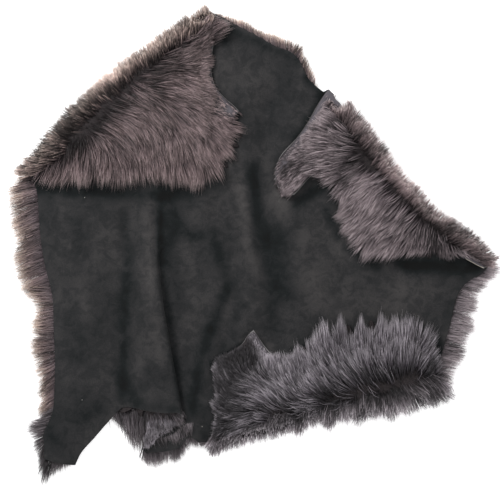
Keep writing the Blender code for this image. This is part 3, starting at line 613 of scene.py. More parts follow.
# %% Combs on the turned edges
Comb = namedtuple("Comb", "x y heading length")  # in mm and degrees
TOP_COMBS = rows(Comb, (
    # The upper left edge.
    (-90, 459, 50, 34), (-70, 452, 22, 30), (-100, 429, 55, 45), (-48, 425, 5, 56), (-62, 416, 14, 54),
    (-72, 403, 28, 44), (-80, 386, 25, 8), (-108, 399, 35, 36), (-100, 365, 12, 18), (-84, 339, 5, 8),
    (-108, 339, 352, 26), (-160, 369, 20, 45), (-200, 339, 3, 50), (-240, 309, 328, 52),
    (-150, 319, 338, 52), (-100, 299, 340, 34), (-78, 293, 335, 12), (-46, 269, 335, 9),
    (-280, 279, 345, 52), (-200, 269, 308, 55), (-130, 259, 315, 55), (-320, 249, 335, 52),
    (-260, 239, 315, 55), (-220, 219, 285, 58), (-160, 209, 283, 58), (-100, 225, 292, 52),
    (-70, 239, 325, 40), (-36, 235, 350, 62), (-44, 219, 330, 30), (-52, 203, 308, 58), (-62, 187, 302, 30),
    (-350, 209, 258, 52), (-300, 189, 266, 56), (-240, 159, 271, 56), (-170, 159, 274, 58),
    (-110, 159, 279, 58), (-74, 171, 300, 58), (-82, 157, 292, 32), (-94, 148, 301, 84),
    (-112, 150, 282, 44), (-380, 159, 252, 50), (-410, 145, 238, 44), (-440, 129, 230, 40),
    (-410, 189, 235, 45),
    # The upper right edge.
    (144, 281, 200, 8), (126, 245, 190, 8), (100, 203, 200, 9), (78, 175, 205, 9), (62, 149, 225, 14),
    (58, 127, 240, 16), (70, 109, 235, 14), (84, 101, 230, 14), (156, 253, 178, 14), (132, 209, 188, 26),
    (106, 175, 202, 30), (84, 145, 220, 30), (92, 117, 230, 26), (112, 133, 225, 34), (136, 159, 210, 42),
    (160, 189, 182, 44), (160, 221, 160, 40), (180, 239, 150, 40), (186, 265, 95, 34), (204, 225, 140, 40),
    (196, 195, 168, 48), (180, 165, 202, 48), (160, 133, 222, 44), (190, 115, 238, 44), (184, 79, 205, 44),
    (230, 99, 232, 55), (240, 145, 215, 46), (190, 45, 222, 48), (260, 59, 226, 58), (196, 22, 216, 34),
    (226, 2, 214, 58), (240, -14, 224, 40), (262, -12, 228, 56), (280, 19, 226, 58), (290, -21, 230, 64),
    (320, 79, 228, 50), (322, -1, 240, 40), (350, 9, 262, 32), (380, -1, 285, 30), (412, -15, 325, 24),
    (450, -25, 345, 18),
    # The bottom edge.
    (-76, -241, 125, 8), (-66, -225, 118, 9), (-40, -209, 108, 9), (-20, -199, 100, 9), (-2, -179, 95, 8),
    (4, -197, 95, 10), (22, -201, 85, 9), (34, -219, 80, 12), (-70, -271, 132, 14), (-50, -245, 125, 20),
    (-20, -225, 110, 18), (-30, -281, 136, 30), (-68, -311, 140, 14), (-70, -347, 150, 12),
    (-74, -375, 190, 14), (-50, -335, 150, 28), (0, -245, 98, 26), (52, -255, 98, 30), (76, -235, 95, 32),
    (40, -301, 145, 46), (10, -311, 165, 46), (24, -345, 200, 48), (-10, -365, 214, 44),
    (-44, -371, 216, 30), (106, -225, 116, 52), (100, -281, 110, 52), (70, -315, 122, 48),
    (112, -203, 108, 58), (122, -201, 110, 24), (150, -201, 102, 86), (168, -199, 98, 30),
    (186, -199, 96, 68), (199, -199, 95, 26), (180, -251, 116, 54), (160, -291, 125, 54),
    (224, -199, 94, 60), (239, -199, 92, 34), (259, -199, 92, 64), (250, -251, 104, 56),
    (230, -281, 138, 50), (273, -199, 90, 44), (289, -199, 88, 52), (314, -201, 84, 56),
    (300, -251, 90, 56), (290, -281, 108, 48), (340, -211, 62, 60), (350, -255, 55, 40),
    (334, -199, 72, 48), (358, -199, 62, 58), (360, -281, 0, 42), (380, -295, 335, 42),
    (324, -307, 300, 46), (270, -321, 262, 48), (200, -327, 265, 46), (140, -335, 250, 46),
    (84, -351, 232, 46),
    # The wool that comes out below the pleat.
    (-220, -335, 276, 34), (-190, -345, 280, 26), (-165, -335, 290, 26), (-215, -375, 274, 20),
    (-190, -378, 276, 12), (-160, -362, 285, 12),
))

# %% Combs along the outline
EdgeComb = namedtuple("EdgeComb", "x y heading reach")  # reach is how far the tips stand past the leather
EDGE_COMBS = rows(EdgeComb, (
    # The fold at the upper left.
    (-90, 472, 40, -18), (-108, 466, 85, -6), (-140, 437, 96, 12), (-180, 399, 102, 10),
    (-220, 375, 110, 14), (-260, 349, 116, 18), (-304, 319, 132, 22), (-340, 289, 144, 20),
    (-376, 249, 160, 22), (-410, 205, 172, 24), (-444, 161, 190, 24), (-464, 129, 205, 22),
    # The left side and the leg.
    (-426, 105, 196, 68), (-424, 59, 200, 66), (-420, 9, 202, 62), (-414, -47, 203, 64),
    (-404, -81, 196, 56), (-396, -121, 184, 50), (-396, -191, 190, 52), (-394, -251, 208, 56),
    (-392, -301, 214, 48), (-394, -326, 200, 30), (-406, -353, 190, 62), (-414, -376, 205, 36),
    (-416, -405, 240, 36), (-416, -431, 258, 60), (-408, -445, 263, 62), (-390, -447, 268, 16),
    (-356, -451, 285, 4), (-330, -421, 315, -6), (-300, -381, 315, -8), (-284, -360, 300, -24),
    (-268, -338, 280, -18),
    # Below the pleat.
    (-256, -331, 274, 104), (-244, -331, 279, 104), (-228, -332, 281, 104), (-208, -334, 282, 64),
    (-184, -335, 282, 40), (-156, -337, 290, 36), (-138, -339, 272, 14), (-224, -407, 266, 34),
    (-200, -421, 270, 32), (-170, -421, 270, 32), (-140, -411, 278, 32), (-120, -395, 290, 30),
    (-100, -401, 300, 0), (-86, -403, 270, 0),
    # The fold at the bottom.
    (-74, -391, 225, 22), (-40, -393, 235, 8), (10, -383, 248, -4), (70, -367, 254, 0), (130, -351, 262, 4),
    (190, -335, 268, 12), (250, -321, 275, 24), (300, -311, 285, 30), (350, -297, 308, 34),
    (380, -281, 335, 30),
    # The right side.
    (380, -241, 350, 46), (388, -201, 345, 55), (400, -161, 348, 54), (412, -121, 346, 53),
    (426, -87, 342, 51), (452, -55, 340, 38),
    # The fold at the upper right.
    (474, -35, 350, 16), (456, -1, 28, 18), (410, 33, 40, 18), (360, 69, 46, 2), (316, 109, 44, 9),
    (284, 149, 40, 9), (256, 193, 40, 16), (224, 229, 52, 20), (200, 253, 74, 22), (194, 262, 88, 30),
    (182, 270, 60, -10), (172, 279, 60, -10), (158, 297, 80, -4),
    # The crown.
    (144, 313, 85, 4), (134, 321, 75, 30), (118, 335, 72, 32), (110, 365, 66, 30), (94, 383, 60, 40),
    (66, 393, 84, 25), (24, 415, 92, 25), (-20, 437, 92, 25), (-54, 461, 96, 18), (-74, 469, 60, 2),
))
COMB_FOCUS = 4  # the higher, the more the nearest comb counts
NEAREST_COMB = 2 * MM  # added to each distance, so that no comb counts without end


def combed(places, combs):
    """(headings in radians, the combs' last column in metres) at plan places."""
    away = np.linalg.norm(places[:, None, :2] - placed(combs)[None], axis=2) + NEAREST_COMB
    weights = away**-COMB_FOCUS
    weights /= weights.sum(axis=1, keepdims=True)
    headings = np.radians([row.heading for row in combs])
    reach = weights @ (np.array([row[-1] for row in combs]) * MM)
    return np.arctan2(weights @ np.sin(headings), weights @ np.cos(headings)), reach


print(len(TOP_COMBS), "combs on the turned edges,", len(EDGE_COMBS), "along the outline")

# %% [markdown]
# ## Sorting the roots
#
# The wool side is sorted into three parts. Along a fold the wool stands out sideways, also from a strip just
# inside the fold, which leaves a dark parting between it and the wool that lies on the turned edge. Under the
# lower layer only the wool near the cut edge shows, as a fringe.

# %% Roots by where they grow
STEEP = 0.45  # where the wool side's direction is flatter than this, it is on a bend
PARTINGS = np.array([25, 15, 24]) * MM  # from the bend: upper left, upper right and bottom
PARTING_WANDER = 9 * MM
PARTING_SCATTER = 8 * MM
PARTING_SIZE = 45 * MM
FURTHEST_SCATTER = 1.5  # in standard deviations
LEAST_UP = -0.75  # wool whose direction is lower than this grows under a fold and stays hidden
FRINGE_DEPTH = 22 * MM
EDGE_MARGIN = 8 * MM  # the cut edge's own rounding isn't a fold
COVERED = 4 * MM  # a root with leather this far above it is hidden
SHOWN_IN_PLEAT = ((-255, -396), (-130, -318))  # mm: here the wool of the pleat shows, just below the hem
PLEAT_BOX = ((-245, -460), (-88, 90))  # mm: in here only the pleat bends


def tree_of(points):
    tree = kdtree.KDTree(len(points))
    for index, point in enumerate(points):
        tree.insert((*point[:2], 0), index)
    tree.balance()
    return tree


def plan_distance(points, others):
    tree = tree_of(others)
    return np.array([tree.find((x, y, 0))[2] for x, y in points[:, :2]])


def in_box(points, box):
    low, high = (np.array(corner) * MM + PHOTO_MIDDLE for corner in box)
    return ((points[:, :2] > low) & (points[:, :2] < high)).all(axis=1)


# Each use of the smooth noise has a number of its own, which is the height at which it is read.
PARTING_SEED, HEADING_SEED, LENGTH_SEED, CURL_SEED, RISE_SEED, TONE_SEED = 2.7, 3.1, 8.4, 5.7, 1.9, 6.6


def wandering(points, size, seed):
    """Smooth noise from -1 to 1 over the plan."""
    return np.array([noise.noise(Vector((x / size, y / size, seed))) for x, y in points[:, :2]])


def part_of(places):
    """0, 1 or 2: the turned edge at the upper left, the upper right or the bottom."""
    x, y = (places[:, :2] - PHOTO_MIDDLE).T
    return np.where(y < -100 * MM, 2, np.where(x < 20 * MM, 0, 1))


Roots = namedtuple("Roots", "places normals")


def scattered(density, rng):
    """Roots spread over the wool side, that many to a square metre."""
    count = int(areas.sum() * density)
    chosen = rng.choice(len(areas), count, p=areas / areas.sum())
    a, b = rng.random((2, count))
    over = a + b > 1
    a[over], b[over] = 1 - a[over], 1 - b[over]
    shares = np.stack([1 - a - b, a, b], axis=1)[:, :, None]
    return Roots((ground.corners[chosen] * shares).sum(axis=1),
                 unit((ground.normals[chosen] * shares).sum(axis=1)))


def only(roots, chosen):
    return Roots(roots.places[chosen], roots.normals[chosen])


centres = ground.corners.mean(axis=1)
upwards = ground.normals.mean(axis=1)[:, 2]
bent = (np.abs(upwards) < STEEP) & ~in_box(centres, PLEAT_BOX)
bent &= plan_distance(centres, edge_points) > EDGE_MARGIN
bend_centres = centres[bent]
print("bend faces", len(bend_centres))


def sorted_roots(roots, rng):
    """(roots on top, roots at the folds, roots at the low cut edge)."""
    up = roots.normals[:, 2]
    from_bend = plan_distance(roots.places, bend_centres)
    parting = PARTING_WANDER * wandering(roots.places, PARTING_SIZE, PARTING_SEED)
    parting += PARTINGS[part_of(roots.places)]
    parting += PARTING_SCATTER * np.clip(rng.normal(size=len(up)), -FURTHEST_SCATTER, FURTHEST_SCATTER)
    pleated = in_box(roots.places, PLEAT_BOX)
    at_fold = ~pleated & (up > LEAST_UP) & (from_bend < parting)
    seen = leather_top.at(*roots.places[:, :2].T) < roots.places[:, 2] + COVERED
    seen &= in_box(roots.places, SHOWN_IN_PLEAT)
    on_top = (up > STEEP) & ~at_fold & (~pleated | seen)
    fringe = (up < -STEEP) & ~at_fold & (plan_distance(roots.places, edge_points) < FRINGE_DEPTH)
    return only(roots, on_top), only(roots, at_fold), only(roots, fringe)


# %% [markdown]
# ## Growing the strands
#
# A strand leaves its root at a slant, runs the way that it is combed and sinks towards its tip under its own
# weight. One strand in ten to eighteen leads a wisp: the others near it are drawn to it more and more towards
# the tip, which is what makes wool lie in pointed wisps.

# %% Strands
SEGMENTS = 3
STRAND_SIDES = 3
WIDTHS = np.array([0.0, 1.0, 0.8, 0.0])  # half width at each point, as a share of the strand's own
SHORTEST = 4 * MM
LONGEST_LED = 1.3  # a strand follows its leader's path to its end and this much further at most
LOCK = 22 * MM  # distance between the middles of two locks
FULL_LENGTH = 50 * MM
FLOOR_GAP = 0.8 * MM
UNDER_LEATHER = 2 * MM
LOCK_SIZE = 34 * MM
LOCK_TURN = math.radians(15)

Tuft = namedtuple("Tuft", "x y")  # mm: here grows the middle strand of a pointed tuft that stands out
TUFTS = rows(Tuft, (
    (110, -208), (150, -203), (186, -201), (224, -201), (259, -201), (289, -201), (314, -203), (358, -201),
    (300, -16), (262, -12), (226, 2), (206, 40), (210, 78), (-94, 148), (-74, 171), (-52, 203), (-38, 233),
    (190, 258), (-408, -352),
))
TUFT_PULL = 0.75
TUFT_WIDTH = 13 * MM
LOCK_BEND = 2
TUFT_BEND = 1.2

# How many strands make a wisp, how far they are drawn together, and how late on their way.
Wisp = namedtuple("Wisp", "strands pull bend")
TOP_WISP = Wisp(10, 0.5, 1.25)
RIM_WISP = Wisp(18, 0.6, 1.6)
FRINGE_WISP = Wisp(14, 0.4, 2.0)

Growth = namedtuple("Growth", "places normals heading length rise fall curl")

# How much strands differ, as a share of the mean: from lock to lock, and each strand from its neighbours.
Varies = namedtuple("Varies", "lock strand")
LENGTH_VARIES = Varies(0.2, 0.1)
CURL_VARIES = Varies(0.14, 0.08)
RISE_VARIES = Varies(0.4, 0.3)
FALL_VARIES = 0.3  # each strand's own
SHARES_KEPT = (0.2, 2)


def grown(growth, shares):
    """Points of each strand at those shares of its length; shares has a row for each strand."""
    g = growth
    ahead = np.stack([np.cos(g.heading), np.sin(g.heading), 0 * g.heading], axis=1)[:, None]
    aside = np.stack([-np.sin(g.heading), np.cos(g.heading), 0 * g.heading], axis=1)[:, None]
    t = shares[:, :, None]
    path = g.places[:, None] + ahead * g.length[:, None, None] * t
    path += aside * (g.curl * g.length)[:, None, None] * t**2
    path += g.normals[:, None] * g.rise[:, None, None] * t * (2 - t)
    path[:, :, 2] -= g.fall[:, None] * shares**2
    return path


def varied(roots, heading, length, rise, fall, turn, rng):
    """Growth with differences from strand to strand, and larger ones from lock to lock."""
    count = len(roots.places)
    places = roots.places

    def spread(varies, seed):
        of_locks = varies.lock * wandering(places, LOCK_SIZE, seed)
        return of_locks + varies.strand * rng.normal(size=count)

    heading = heading + LOCK_TURN * wandering(places, LOCK_SIZE, HEADING_SEED) + turn * rng.normal(size=count)
    length = np.maximum(length * (1 + spread(LENGTH_VARIES, LENGTH_SEED)), SHORTEST)
    curl = spread(CURL_VARIES, CURL_SEED)
    rise = rise * np.clip(1 + spread(RISE_VARIES, RISE_SEED), *SHARES_KEPT)
    fall = fall * np.clip(1 + FALL_VARIES * rng.normal(size=count), *SHARES_KEPT)
    return Growth(places, roots.normals, heading, length, rise, fall, curl)


def drawn_to(paths, growth, shares, leaders, pull, bend):
    """(paths drawn towards those of the nearest leaders, the more the nearer to the tip, whom each follows).

    pull is one number for all of the strands or one for each.
    """
    tree = tree_of(growth.places[leaders])
    leader = np.array([tree.find((x, y, 0))[1] for x, y in growth.places[:, :2]])
    led = Growth(*[column[leaders[leader]] for column in growth])
    their = grown(led, shares * np.minimum(growth.length / led.length, LONGEST_LED)[:, None])
    strength = (pull * np.clip(growth.length / FULL_LENGTH, 0, 1))[:, None, None] * shares[:, :, None] ** bend
    return paths * (1 - strength) + their * strength, leader


def wisped(growth, wisp, lock_pull, rng):
    """(points of the strands drawn into wisps and the wisps into locks, the wisp that each belongs to)."""
    count = len(growth.places)
    shares = np.tile(np.linspace(0, 1, SEGMENTS + 1), (count, 1))
    order = rng.permutation(count)
    paths, leader = drawn_to(grown(growth, shares), growth, shares, order[:max(1, count // wisp.strands)],
                             wisp.pull, wisp.bend)
    area = count / density_of(growth.places)
    locks = order[-max(1, int(area / LOCK**2)):]
    paths = drawn_to(paths, growth, shares, locks, lock_pull, LOCK_BEND)[0]
    tufts = placed(TUFTS)
    tufts = tufts[plan_distance(tufts, growth.places) < TUFT_WIDTH]
    if not len(tufts):
        return paths, leader
    tree = tree_of(growth.places)
    middles = np.array([tree.find((x, y, 0))[1] for x, y in tufts])
    pull = TUFT_PULL * np.exp(-((plan_distance(growth.places, tufts) / TUFT_WIDTH) ** 2))
    return drawn_to(paths, growth, shares, middles, pull, TUFT_BEND)[0], leader


NEIGHBOURS = 8
ONE_IN = 40  # the density is measured at one strand in this many


def density_of(places):
    """Strands to a square metre, from how far apart neighbours are."""
    tree = tree_of(places)
    last = [tree.find_n((x, y, 0), NEIGHBOURS + 1)[-1][2] for x, y in places[::ONE_IN, :2]]
    return NEIGHBOURS / (math.pi * float(np.median(last)) ** 2)


# %% Strands as one mesh
def rings(paths, half_width):
    """Corners of the strands' cross sections, (strands, points, sides, 3)."""
    along = unit(np.gradient(paths, axis=1))
    side = unit(np.cross(along, (0, 0, 1)))
    up = np.cross(side, along)
    angles = math.pi / 2 + np.arange(STRAND_SIDES) * math.tau / STRAND_SIDES
    width = half_width[:, None, None, None] * WIDTHS[None, :, None, None]
    around = np.cos(angles)[:, None] * side[:, :, None] + np.sin(angles)[:, None] * up[:, :, None]
    return paths[:, :, None] + width * around


def strand_pattern():
    """(faces of one strand by its points' numbers, their UVs with U from 0 to 1 around the strand)."""
    root, tip = 0, 1 + (SEGMENTS - 1) * STRAND_SIDES
    faces, uvs = [], []
    for k in range(STRAND_SIDES):
        left, right = k / STRAND_SIDES, (k + 1) / STRAND_SIDES
        middle, after = (left + right) / 2, (k + 1) % STRAND_SIDES
        firsts = [1 + ring * STRAND_SIDES for ring in range(SEGMENTS - 1)]
        rings_of = [(first + k, first + after) for first in firsts]
        heights = np.arange(1, SEGMENTS) / SEGMENTS
        faces += [(root, rings_of[0][1], rings_of[0][0]), (*rings_of[-1], tip)]
        uvs += [((middle, 0), (right, heights[0]), (left, heights[0])),
                ((left, heights[-1]), (right, heights[-1]), (middle, 1))]
        for (a, b), (c, d), low, high in zip(rings_of, rings_of[1:], heights, heights[1:]):
            faces += [(a, b, d), (a, d, c)]
            uvs += [((left, low), (right, low), (right, high)), ((left, low), (right, high), (left, high))]
    return np.array(faces), np.array(uvs)


STRAND_FACES, STRAND_UVS = strand_pattern()
UV_MARGIN = 0.15  # of a tone's column, on each side
SHORT = 30 * MM  # shorter strands are shorn off, so they lack some of the dark roots
SHORTEST_START = 0.55


def strand_mesh(name, paths, half_width, tones, starts, look):
    """One object with all those strands.

    tones are from 0, darkest, to 1, lightest. starts says where along full-length wool a short strand begins.
    """
    count = len(paths)
    around = rings(paths, half_width)
    between = around[:, 1:-1].reshape(count, -1, 3)
    corners = np.concatenate([around[:, 0, :1], between, around[:, -1, :1]], axis=1)
    size = corners.shape[1]
    faces = STRAND_FACES[None] + (np.arange(count) * size)[:, None, None]
    mesh = bpy.data.meshes.new(name)
    mesh.from_pydata(corners.reshape(-1, 3), [], faces.reshape(-1, 3))
    column = np.clip((tones * TONES).astype(int), 0, TONES - 1)
    uvs = np.tile(STRAND_UVS, (count, 1, 1, 1))
    uvs[..., 1] = starts[:, None, None] + (1 - starts[:, None, None]) * uvs[..., 1]
    uvs[..., 0] = (column[:, None, None] + UV_MARGIN + (1 - 2 * UV_MARGIN) * uvs[..., 0]) / TONES
    mesh.uv_layers.new(name=UV_NAME).uv.foreach_set("vector", uvs.astype(np.float32).ravel())
    mesh.materials.append(look)
    mesh.shade_smooth()
    made = linked(mesh, name)
    print(name, count, "strands", len(mesh.polygons), "triangles")
    return made


def starts_of(length):
    return SHORTEST_START * (1 - np.clip(length / SHORT, 0, 1))


Shade = namedtuple("Shade", "x1 y1 x2 y2 half_width tone")  # as a stroke on the nap, in tones from 0 to 1
# The shades hold the wool's own lighter and darker patches together with painted light: painted shade along
# the dark partings and on the flank left of the peak of the bottom turned edge, and painted sheen on that
# peak and on the pale tips along the lower edge of the upper left turned edge.
SHADES = rows(Shade, (
    # The upper left edge.
    (-110, 405, -140, 370, 24, -0.22), (-175, 362, -226, 322, 20, -0.3), (-226, 322, -280, 290, 16, -0.3),
    (-275, 286, -315, 256, 15, -0.36), (-288, 306, -252, 322, 13, 0.26), (-315, 262, -355, 222, 20, -0.4),
    (-350, 222, -405, 180, 22, -0.52), (-204, 300, -200, 285, 12, -0.16), (-78, 212, -60, 196, 16, 0.1),
    (-86, 391, -92, 341, 10, -0.12), (-110, 450, -165, 405, 22, -0.16), (-110, 241, -98, 231, 7, -0.5),
    (-178, 349, -124, 343, 7, -0.25), (-215, 325, -190, 265, 9, -0.22), (-290, 285, -240, 262, 8, 0.16),
    (-330, 215, -310, 175, 12, -0.2), (-96, 225, -80, 185, 24, 0.14), (-140, 340, -110, 325, 24, 0.12),
    (-285, 251, -260, 244, 16, 0.1), (-370, 165, -290, 165, 24, 0.12), (-200, 135, -100, 135, 26, 0.16),
    (-160, 230, -100, 190, 40, 0.08), (-60, 270, -40, 265, 14, 0.1), (-180, 240, -120, 220, 20, 0.03),
    # The upper right edge.
    (245, 145, 295, 95, 20, 0.3), (215, 200, 230, 165, 18, -0.38), (200, 150, 214, 132, 8, -0.45),
    (226, 168, 268, 150, 7, -0.35), (185, 225, 200, 205, 12, -0.12), (80, 158, 150, 180, 14, -0.3),
    (70, 150, 60, 114, 14, -0.24), (126, 247, 60, 140, 10, -0.14), (150, 255, 158, 249, 6, -0.25),
    (310, 88, 330, 74, 12, -0.14), (345, 45, 370, 15, 20, -0.36), (395, 14, 435, 0, 18, -0.26),
    (222, 205, 300, 105, 16, 0.14), (300, 105, 350, 50, 16, 0.12), (248, 182, 258, 172, 8, -0.25),
    (235, 125, 245, 100, 26, 0.16), (225, 50, 285, 0, 34, 0.2), (185, 120, 160, 190, 22, 0.12),
    (86, 178, 96, 160, 16, -0.14), (75, 150, 95, 120, 20, 0.14), (125, 245, 100, 205, 14, 0.14),
    # The bottom edge.
    (26, -200, 44, -240, 13, 0.55), (45, -250, 70, -245, 14, 0.1), (-6, -195, -20, -240, 14, -0.3),
    (-30, -245, -24, -305, 40, -0.68), (-24, -305, -34, -350, 36, -0.52), (-76, -290, -76, -360, 5, 0.3),
    (0, -220, 8, -270, 20, -0.3), (-10, -345, 20, -365, 14, -0.1), (28, -356, 46, -346, 12, -0.25),
    (56, -340, 95, -336, 15, -0.4), (105, -328, 170, -316, 14, -0.4), (190, -296, 250, -286, 15, -0.42),
    (262, -278, 350, -276, 17, -0.46), (180, -336, 350, -312, 12, 0.16), (345, -262, 356, -255, 10, -0.18),
    (270, -205, 330, -200, 30, 0.06), (140, -215, 160, -190, 20, 0.06),
    # The leg and the wool below the pleat.
    (-436, -340, -422, -470, 34, -0.6), (-262, -345, -150, -345, 16, -0.14),
))
# Where the wool is worn or shorn to a short pile, and on the peak of the bottom turned edge, where the same
# pale mat is a painted sheen.
WORN_AND_SHEEN = rows(Shade, (
    (144, 283, 126, 247, 11, 1.0), (126, 247, 100, 205, 11, 1.0), (100, 205, 78, 175, 9, 0.95),
    (78, 175, 60, 149, 8, 0.9), (60, 149, 57, 127, 7, 0.8), (57, 118, 84, 99, 5, 0.6),
    (428, -26, 470, -50, 6, 0.8), (-78, 393, -84, 341, 6, 0.9), (-84, 325, -44, 270, 7, 0.9),
    (-44, 268, -24, 258, 8, 0.7), (0, -175, 20, -200, 10, 0.9), (20, -200, 34, -225, 9, 0.9),
    (-78, -237, -20, -203, 6, 0.6), (-80, -245, -72, -300, 6, 0.7), (-72, -300, -76, -375, 7, 0.8),
    (150, 309, 180, 276, 12, 1.2),
))
PLAIN_TONE = 0.52
LIGHTEST_TONE = 0.86
WISP_TONE = 0.15
STRAND_TONE = 0.22
LEAST_CONTRAST = 0.35  # of short wool, as a share of that of full-length wool
LOCK_TONE = 0.26


def bare_of(roots, rng):
    """Leaves out most of the strands where the wool is worn, and where the bare pale mat paints a sheen."""
    return only(roots, rng.random(len(roots.places)) > 2 * drawn(roots.places, WORN_AND_SHEEN, "tone") - 1)


def tones_of(roots, leader, length, rng):
    """A tone for each strand: that of its place, with its painted shade and sheen, its lock and its wisp, and
    a little of its own.
    """
    wisps = rng.normal(size=leader.max() + 1)
    own = WISP_TONE * wisps[leader] + STRAND_TONE * rng.normal(size=len(leader))
    place = drawn(roots.places, SHADES, "tone")
    place += LOCK_TONE * wandering(roots.places, LOCK_SIZE / 2, TONE_SEED)
    return np.clip(PLAIN_TONE + place + own * np.clip(length / SHORT, LEAST_CONTRAST, 1), 0, LIGHTEST_TONE)


# %% [markdown]
# ## Wool on the turned edges
#
# On the turned edges the wool lies almost flat, combed out over the suede, and whole strands show, up to
# their pale tips. A thick shell with grooves could stand for it, but its outline would be hard where the real
# one ends in loose tips. Here each strand rises from its root, follows the height map over the leather below
# it and ends free. The three turned edges are three pieces, because the dye of each differs a little.

# %% The top wool
TOP_DENSITY = 295e3  # strands to a square metre
FOLD_DENSITY = 440e3
FRINGE_DENSITY = 340e3
TOP_RISE = 18 * MM
TOP_FALL = 8 * MM
TOP_HALF_WIDTH = 0.5 * MM
TOP_TURN = math.radians(5)
LOWEST_OVER_LEATHER = 1.5 * MM
LARGEST_DROP = 24 * MM
LARGEST_CLIMB = 8 * MM
LOCK_PULLS = (0.1, 0.24, 0.22)  # upper left, upper right and bottom
WIDTH_VARIES = 0.25
WIDTHS_KEPT = (0.5, 1.8)  # as shares of the mean
STEP_BEND = 0.5  # how soon along a strand it comes down to the leather below
SEED = 11
rng = np.random.default_rng(SEED)


def laid_on(paths, places):
    """The strands follow the leather under them and never sink into it."""
    under = leather_top.at(paths[..., 0], paths[..., 1])
    step = np.clip(under - leather_top.at(places[:, 0], places[:, 1])[:, None], -LARGEST_DROP, LARGEST_CLIMB)
    paths[..., 2] += step * np.linspace(0, 1, SEGMENTS + 1) ** STEP_BEND
    paths[:, 1:, 2] = np.maximum(paths[:, 1:, 2], under[:, 1:] + LOWEST_OVER_LEATHER)
    return paths


on_top, _, _ = sorted_roots(scattered(TOP_DENSITY, rng), rng)
_, at_fold, _ = sorted_roots(scattered(FOLD_DENSITY, rng), rng)
_, _, at_edge = sorted_roots(scattered(FRINGE_DENSITY, rng), rng)
print("roots on top", len(on_top.places), "at the folds", len(at_fold.places),
      "at the edge", len(at_edge.places))


def finished_wool(name, paths, roots, growth, leader, half_width, look):
    """The strands as one mesh, each with a width and a tone of its own."""
    widths = half_width * np.clip(1 + WIDTH_VARIES * rng.normal(size=len(leader)), *WIDTHS_KEPT)
    tones = tones_of(roots, leader, growth.length, rng)
    return strand_mesh(name, paths, widths, tones, starts_of(growth.length), look)


def top_wool(name, part, look):
    roots = bare_of(only(on_top, part_of(on_top.places) == part), rng)
    heading, length = combed(roots.places, TOP_COMBS)
    share = length / FULL_LENGTH
    growth = varied(roots, heading, length, TOP_RISE * share, TOP_FALL * share, TOP_TURN, rng)
    paths, leader = wisped(growth, TOP_WISP, LOCK_PULLS[part], rng)
    paths = laid_on(paths, roots.places)
    return finished_wool(name, paths, roots, growth, leader, TOP_HALF_WIDTH, look)


top_pieces = [top_wool("wool_upper_left", 0, WARM_WOOL), top_wool("wool_upper_right", 1, TAUPE_WOOL),
              top_wool("wool_lower", 2, COOL_WOOL)]

# %% [markdown]
# ## Wool at the folds and along the cut edge
#
# At a fold the skin bends, so its wool fans out sideways and shows its tips, which are the palest part. Along
# the cut edge of the lower layer only the ends of the wool show, as a fringe from under the leather. Both
# follow the combs along the outline: a strand is as long as its way to the outline and its reach past it.

# %% The rim and the fringe
Lay = namedtuple("Lay", "rise turn wisp pull")
RIM_LAY = Lay(15 * MM, math.radians(13), RIM_WISP, 0.15)
FRINGE_LAY = Lay(8 * MM, math.radians(5), FRINGE_WISP, 0.1)
RIM_FALL = 12 * MM
LONGEST_INSIDE = 28 * MM
BELOW_EDGE = 1.4 * MM
EDGE_HALF_WIDTH = 0.55 * MM
LEFT_OF, ABOVE = -300 * MM, -320 * MM  # the warmer fringe is here, or along the crown
CROWN = 280 * MM


def kept_up(paths, places, highest):
    """The strands stay above the floor, or above the leather where they run out over it."""
    under = leather_top.at(paths[..., 0], paths[..., 1])
    lowest = np.minimum(under, np.minimum(places[:, 2], highest)[:, None] - UNDER_LEATHER) + FLOOR_GAP
    paths[:, 1:, 2] = np.maximum(paths[:, 1:, 2], lowest[:, 1:])
    return paths


def nearest_heights(points, others):
    tree = tree_of(others)
    return others[[tree.find((x, y, 0))[1] for x, y in points[:, :2]], 2]


def edge_wool(name, roots, guides, highest, fall, lay, look):
    """Wool that stands out past the guides and stays below its highest."""
    heading, reach = combed(roots.places, EDGE_COMBS)
    inside = np.minimum(plan_distance(roots.places, guides), LONGEST_INSIDE)
    growth = varied(roots, heading, reach + inside, np.full(len(heading), lay.rise), fall, lay.turn, rng)
    paths, leader = wisped(growth, lay.wisp, lay.pull, rng)
    paths[:, 1:, 2] = np.minimum(paths[:, 1:, 2], highest[:, None])
    paths = kept_up(paths, roots.places, highest)
    return finished_wool(name, paths, roots, growth, leader, EDGE_HALF_WIDTH, look)


def rim(name, part, look):
    roots = bare_of(only(at_fold, part_of(at_fold.places) == part), rng)
    highest, fall = (np.full(len(roots.places), value) for value in (math.inf, RIM_FALL))
    return edge_wool(name, roots, bend_centres, highest, fall, RIM_LAY, look)


def fringe(name, chosen, look):
    roots = only(at_edge, chosen)
    highest = nearest_heights(roots.places, edge_points) - BELOW_EDGE
    fall = roots.places[:, 2] * rng.random(len(roots.places))
    return edge_wool(name, roots, edge_points, highest, fall, FRINGE_LAY, look)


rim_pieces = [rim("wool_upper_left_rim", 0, WARM_RIM), rim("wool_upper_right_rim", 1, TAUPE_RIM),
              rim("wool_lower_rim", 2, COOL_RIM)]
x, y = (at_edge.places[:, :2] - PHOTO_MIDDLE).T
warm = ((x < LEFT_OF) & (y > ABOVE)) | (y > CROWN)
taupe = ~warm & (x > 0)
fringe_pieces = [fringe("wool_warm_fringe", warm, WARM_FRINGE),
                 fringe("wool_taupe_fringe", taupe, TAUPE_FRINGE),
                 fringe("wool_cool_fringe", ~warm & ~taupe, COOL_FRINGE)]
